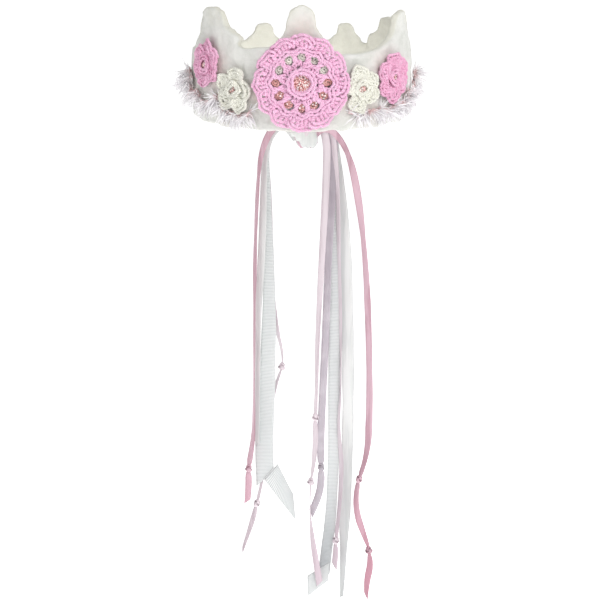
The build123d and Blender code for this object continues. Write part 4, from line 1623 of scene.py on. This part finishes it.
    def build_bridge(self) -> None:
        """Build the ribbons that pass in through one eyelet and out through the other."""
        for name, stuff, shift in (("bridge_white", Stuff.MILK_SATIN, -0.45),
                                   ("bridge_pale", Stuff.PALE_SATIN, 0.0),
                                   ("bridge_pink", Stuff.PINK_SATIN, 0.42)):
            fabric = Fabric()
            points = [(-8.0, 86.4, 8.0), (-8.0, 82.4, 8.0), (-7.9, 79.6, 8.0), (-5.0, 78.8, 8.0),
                      (0.0, 79.0, 8.0),
                      (5.0, 78.8, 8.0), (7.9, 79.6, 8.0), (8.0, 82.4, 8.0), (8.0, 86.4, 8.0)]
            self.strip(fabric, points, 4.1, True, shift)
            piece = fabric.build(name, stuff)
            settle(piece, "crown", "pale_satin", *(("ribbon_bridge",) if shift == 0.0 else ()))

    def build_strands(self) -> None:
        """Build the two strands that hang from the eyelets to the main knot."""
        for name, stuff, slot, lanes in (("strands_white", Stuff.MILK_SATIN, "pale_satin", (-0.9, 0.4)),
                                         ("strands_pale", Stuff.PALE_SATIN, "pale_satin", (0.0,)),
                                         ("strands_pink", Stuff.PINK_SATIN, "pink_satin", (0.9,))):
            fabric = Fabric()
            for side in (-1, 1):
                for lane in lanes:
                    top, foot = 8.0 * side, 4.0 + 4.5 * side
                    points = [(top + 0.2 * lane, 85.0, 8.4 + 0.4 * lane), (top, 88.0, 9.6 + 0.3 * lane),
                              (top + 0.3 * lane, 89.0 + 0.7 * lane, 6.0),
                              (top + 0.9 * lane, 88.7 + 0.8 * lane, -4.0),
                              (0.6 * top + 0.4 * foot - 0.8 * lane, 88.6 + 0.7 * lane, -16.0),
                              (foot + 0.5 * lane, 88.4 + 0.6 * lane, -29.0), (foot, 88.2, -35.0)]
                    self.strip(fabric, points, 4.6 - 0.5 * abs(lane), False)
            settle(fabric.build(name, stuff), "ribbon_knot", slot,
                   *(("ribbon_hanger",) if lanes == (0.0,) else ()))

    def build_knot(self) -> None:
        """Build the main knot from wrapped bands over a gathered core, with its pinked end."""
        centre, radii = np.array(self.knot), np.array(self.radii)
        core = Fabric()
        polar = np.linspace(0.04, math.pi - 0.04, 40)
        turn = np.arange(64) * TAU / 64
        ball = np.stack([np.outer(np.cos(polar), np.ones(64)), np.outer(np.sin(polar), np.cos(turn)),
                         np.outer(np.sin(polar), np.sin(turn))], axis=-1)
        flat = (ball * radii).reshape(-1, 3)
        fold = 0.86 + 0.05 * swell(flat * np.array([0.4, 1.0, 1.0]), 6.0, 8) + 0.03 * swell(flat, 3.5, 9)
        core.tube(centre + ball * radii * fold.reshape(40, 64, 1), run=(ball[..., 0] * radii[0] * MM),
                  side=np.array(0.0))
        settle(core.build("main_knot_core", Stuff.PALE_SATIN), "ribbon_knot", "pale_satin", "ribbon_knot")
        bands = (
            ("main_knot_wrap", Stuff.MILK_SATIN, ((84.0, 3.4, 6.6, 0.95), (104.0, -3.6, 5.6, 0.93),
                                                  (28.0, 1.4, 5.4, 0.90))),
            ("main_knot_pale", Stuff.PALE_SATIN, ((62.0, -1.0, 6.2, 1.0), (140.0, 1.8, 5.0, 0.96),
                                                  (96.0, 7.0, 4.6, 0.90))),
            ("main_knot_pink", Stuff.PINK_SATIN, ((118.0, -6.6, 3.8, 0.92), (76.0, 5.4, 2.6, 1.01))),
        )
        for name, stuff, loops in bands:
            fabric = Fabric()
            for tilt, offset, width, swellup in loops:
                lean = math.radians(tilt - 90.0)
                axis = np.array([math.cos(lean), 0.0, math.sin(lean)])
                rise = np.array([-math.sin(lean), 0.0, math.cos(lean)])
                reach = 1 / math.hypot(rise[0] / radii[0], rise[2] / radii[2])
                along = 1 / math.hypot(axis[0] / radii[0], axis[2] / radii[2])
                small = math.sqrt(max(0.1, 1 - (offset / along) ** 2)) * swellup
                psi = np.linspace(0, TAU, 90)[:, None]
                spin = np.cos(psi) * np.array([0.0, radii[1] * small,
                                               0.0]) + np.sin(psi) * rise * reach * small
                line = centre + axis * offset + spin
                line = line + unit(spin) * (0.22 * swell(line, 7.0, int(tilt)))[:, None]
                Strip(0.4, 0.9, 11).lay(fabric, line, unit(spin), np.full(90, width), cap=False)
            settle(fabric.build(name, stuff), "ribbon_knot",
                   "pink_satin" if stuff is Stuff.PINK_SATIN else "pale_satin")
        zigzag = ((-10.0, 81.4, -30.5), (-8.4, 80.8, -34.0), (-5.4, 80.6, -34.6), (-4.4, 80.4, -37.6),
                  (-1.4, 80.5, -38.4),
                  (-0.2, 80.3, -41.2), (2.8, 80.5, -41.6), (4.4, 80.4, -43.8), (7.2, 80.6, -43.0),
                  (9.4, 80.6, -44.2),
                  (12.0, 80.9, -41.8), (13.6, 81.4, -38.0))
        upper = tuple((-9.6 + 1.9 * k, 82.6 - 0.6 * math.sin(math.pi * k / 11),
                       -30.2 - 0.05 * k) for k in range(12))
        Scrap("pinked_scrap", Stuff.MILK_SATIN, "pale_satin", "ribbon_knot", upper, zigzag, 1.2,
              0.35).build("pinked_ribbon_end")


# The studio


@dataclass
class Studio:
    """Camera at the front and a little above, soft lights and a plain pale floor."""

    eye: Point = (-0.00115, -1.2803, 0.2257)
    pitch: float = 73.66
    lens: float = 101.3
    floor_height: float = -0.62

    def camera(self) -> None:
        """Make the camera."""
        data = bpy.data.cameras.new("camera")
        data.lens, data.sensor_width = self.lens, 36.0
        data.clip_start, data.clip_end = 0.05, 60.0
        made = bpy.data.objects.new("camera", data)
        made.location = self.eye
        made.rotation_euler = (math.radians(self.pitch), 0.0, 0.0)
        bpy.context.scene.collection.objects.link(made)
        bpy.context.scene.camera = made

    def lamp(self, name: str, place: Point, size: float, power: float, aim: Point,
             tint: Colour = (1.0, 1.0, 1.0)) -> None:
        """Hang one soft square lamp that looks at a point.

        Args:
            name: the lamp's name.
            place: where it hangs, in metres.
            size: length of its side.
            power: watts.
            aim: point that it looks at.
            tint: colour of its light.
        """
        data = bpy.data.lights.new(name, "AREA")
        data.shape, data.size, data.energy, data.color = "SQUARE", size, power, tint
        made = bpy.data.objects.new(name, data)
        made.location = place
        made.rotation_mode = "QUATERNION"
        made.rotation_quaternion = (Vector(aim) - Vector(place)).to_track_quat("-Z", "Y")
        bpy.context.scene.collection.objects.link(made)

    def build(self) -> None:
        """Make the camera, lamps, sky and floor."""
        self.camera()
        world = bpy.data.worlds.new("studio")
        world.use_nodes = True
        world.node_tree.nodes["Background"].inputs["Color"].default_value = (1.0, 1.0, 1.0, 1.0)
        world.node_tree.nodes["Background"].inputs["Strength"].default_value = 0.42
        bpy.context.scene.world = world
        bpy.context.scene.view_settings.view_transform = "Standard"
        self.lamp("key", (0.8, -1.3, 1.3), 0.8, 20.0, (0.0, 0.0, 0.0))
        self.lamp("fill", (-1.5, -1.2, 0.5), 1.4, 3.0, (0.0, 0.0, -0.1))
        self.lamp("back", (0.3, 1.5, 1.4), 1.2, 5.0, (0.0, 0.0, 0.0))
        side = np.linspace(-14000.0, 14000.0, 9)
        floor = Fabric()
        grid = np.stack([*np.meshgrid(side, side, indexing="ij"), np.full((9, 9), self.floor_height / MM)],
                        axis=-1)
        index = np.arange(81).reshape(9, 9)
        faces = np.stack([index[:-1, :-1], index[1:, :-1], index[1:, 1:], index[:-1, 1:]],
                         axis=-1).reshape(-1, 4)
        floor.add(grid, faces)
        floor.build("studio_floor", Stuff.PAPER)


def main() -> None:
    """Build the studio, the ribbons, the felt, the flowers and the yarn, in that order."""
    logging.basicConfig(level=logging.INFO, format="%(message)s")
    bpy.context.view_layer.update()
    Studio().build()
    bunch = RibbonBunch()
    bunch.build_tails()
    bunch.build_bridge()
    bunch.build_strands()
    bunch.build_knot()
    FeltCrown().build(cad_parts["felt_crown"])
    Rosette().build()
    ivory, rose = "ivory_crochet_yarn", "rose_crochet_yarn"
    flowers = (
        SmallFlower("left_white_flower", -34.8, 28.5, 15.0, 17.0, 5, Stuff.IVORY_YARN, ivory, 31, Yarn(1.3),
                    0.2, 1.1),
        SmallFlower("right_white_flower", 30.4, 30.0, 13.0, 16.5, 5, Stuff.IVORY_YARN, ivory, 32, Yarn(1.3),
                    -0.3, 1.1),
        SmallFlower("left_pink_flower", -55.0, 44.5, 16.4, 17.2, 6, Stuff.ROSE_YARN, rose, 33, Yarn(1.05),
                    0.1),
        SmallFlower("right_pink_flower", 51.4, 35.5, 17.4, 18.0, 6, Stuff.ROSE_YARN, rose, 34, Yarn(1.05),
                    0.0),
    )
    for flower in flowers:
        flower.build()
    Stitches().build()
    yarns = (
        EyelashYarn("eyelash_yarn_left", ((-25.0, 13.0, 1.0), (-33.0, 11.0, 1.0), (-42.0, 14.0, 1.0),
                                          (-47.0, 24.0, 1.4),
                                          (-52.0, 17.0, 1.6), (-60.0, 15.0, 1.6), (-66.0, 24.0, 2.0),
                                          (-73.0, 19.0, 2.2),
                                          (-80.0, 28.0, 2.4), (-88.0, 22.0, 2.4), (-92.0, 32.0, 2.4),
                                          (-84.0, 36.0, 2.2),
                                          (-74.0, 30.0, 2.2)), 1560, 15.0, 61),
        EyelashYarn("eyelash_yarn_right", ((22.0, 14.0, 1.0), (30.0, 12.0, 1.0), (38.0, 14.0, 1.0),
                                           (46.0, 12.0, 1.4),
                                           (55.0, 15.0, 1.6), (62.0, 14.0, 1.8), (68.0, 23.0, 2.0),
                                           (75.0, 18.0, 2.2),
                                           (83.0, 26.0, 2.4), (91.0, 22.0, 2.4), (90.0, 32.0, 2.4),
                                           (78.0, 30.0, 2.2)),
                    1460, 15.0, 62),
        EyelashYarn("eyelash_yarn_middle", ((-15.0, 26.0, 0.8), (-8.0, 18.0, 0.8), (0.0, 24.0, 0.8),
                                            (8.0, 15.0, 0.8),
                                            (15.0, 24.0, 0.8), (10.0, 31.0, 0.8), (0.0, 33.0, 0.8)), 160,
                                            5.0, 63),
    )
    for yarn in yarns:
        yarn.build()


if __name__ == "__main__":
    main()
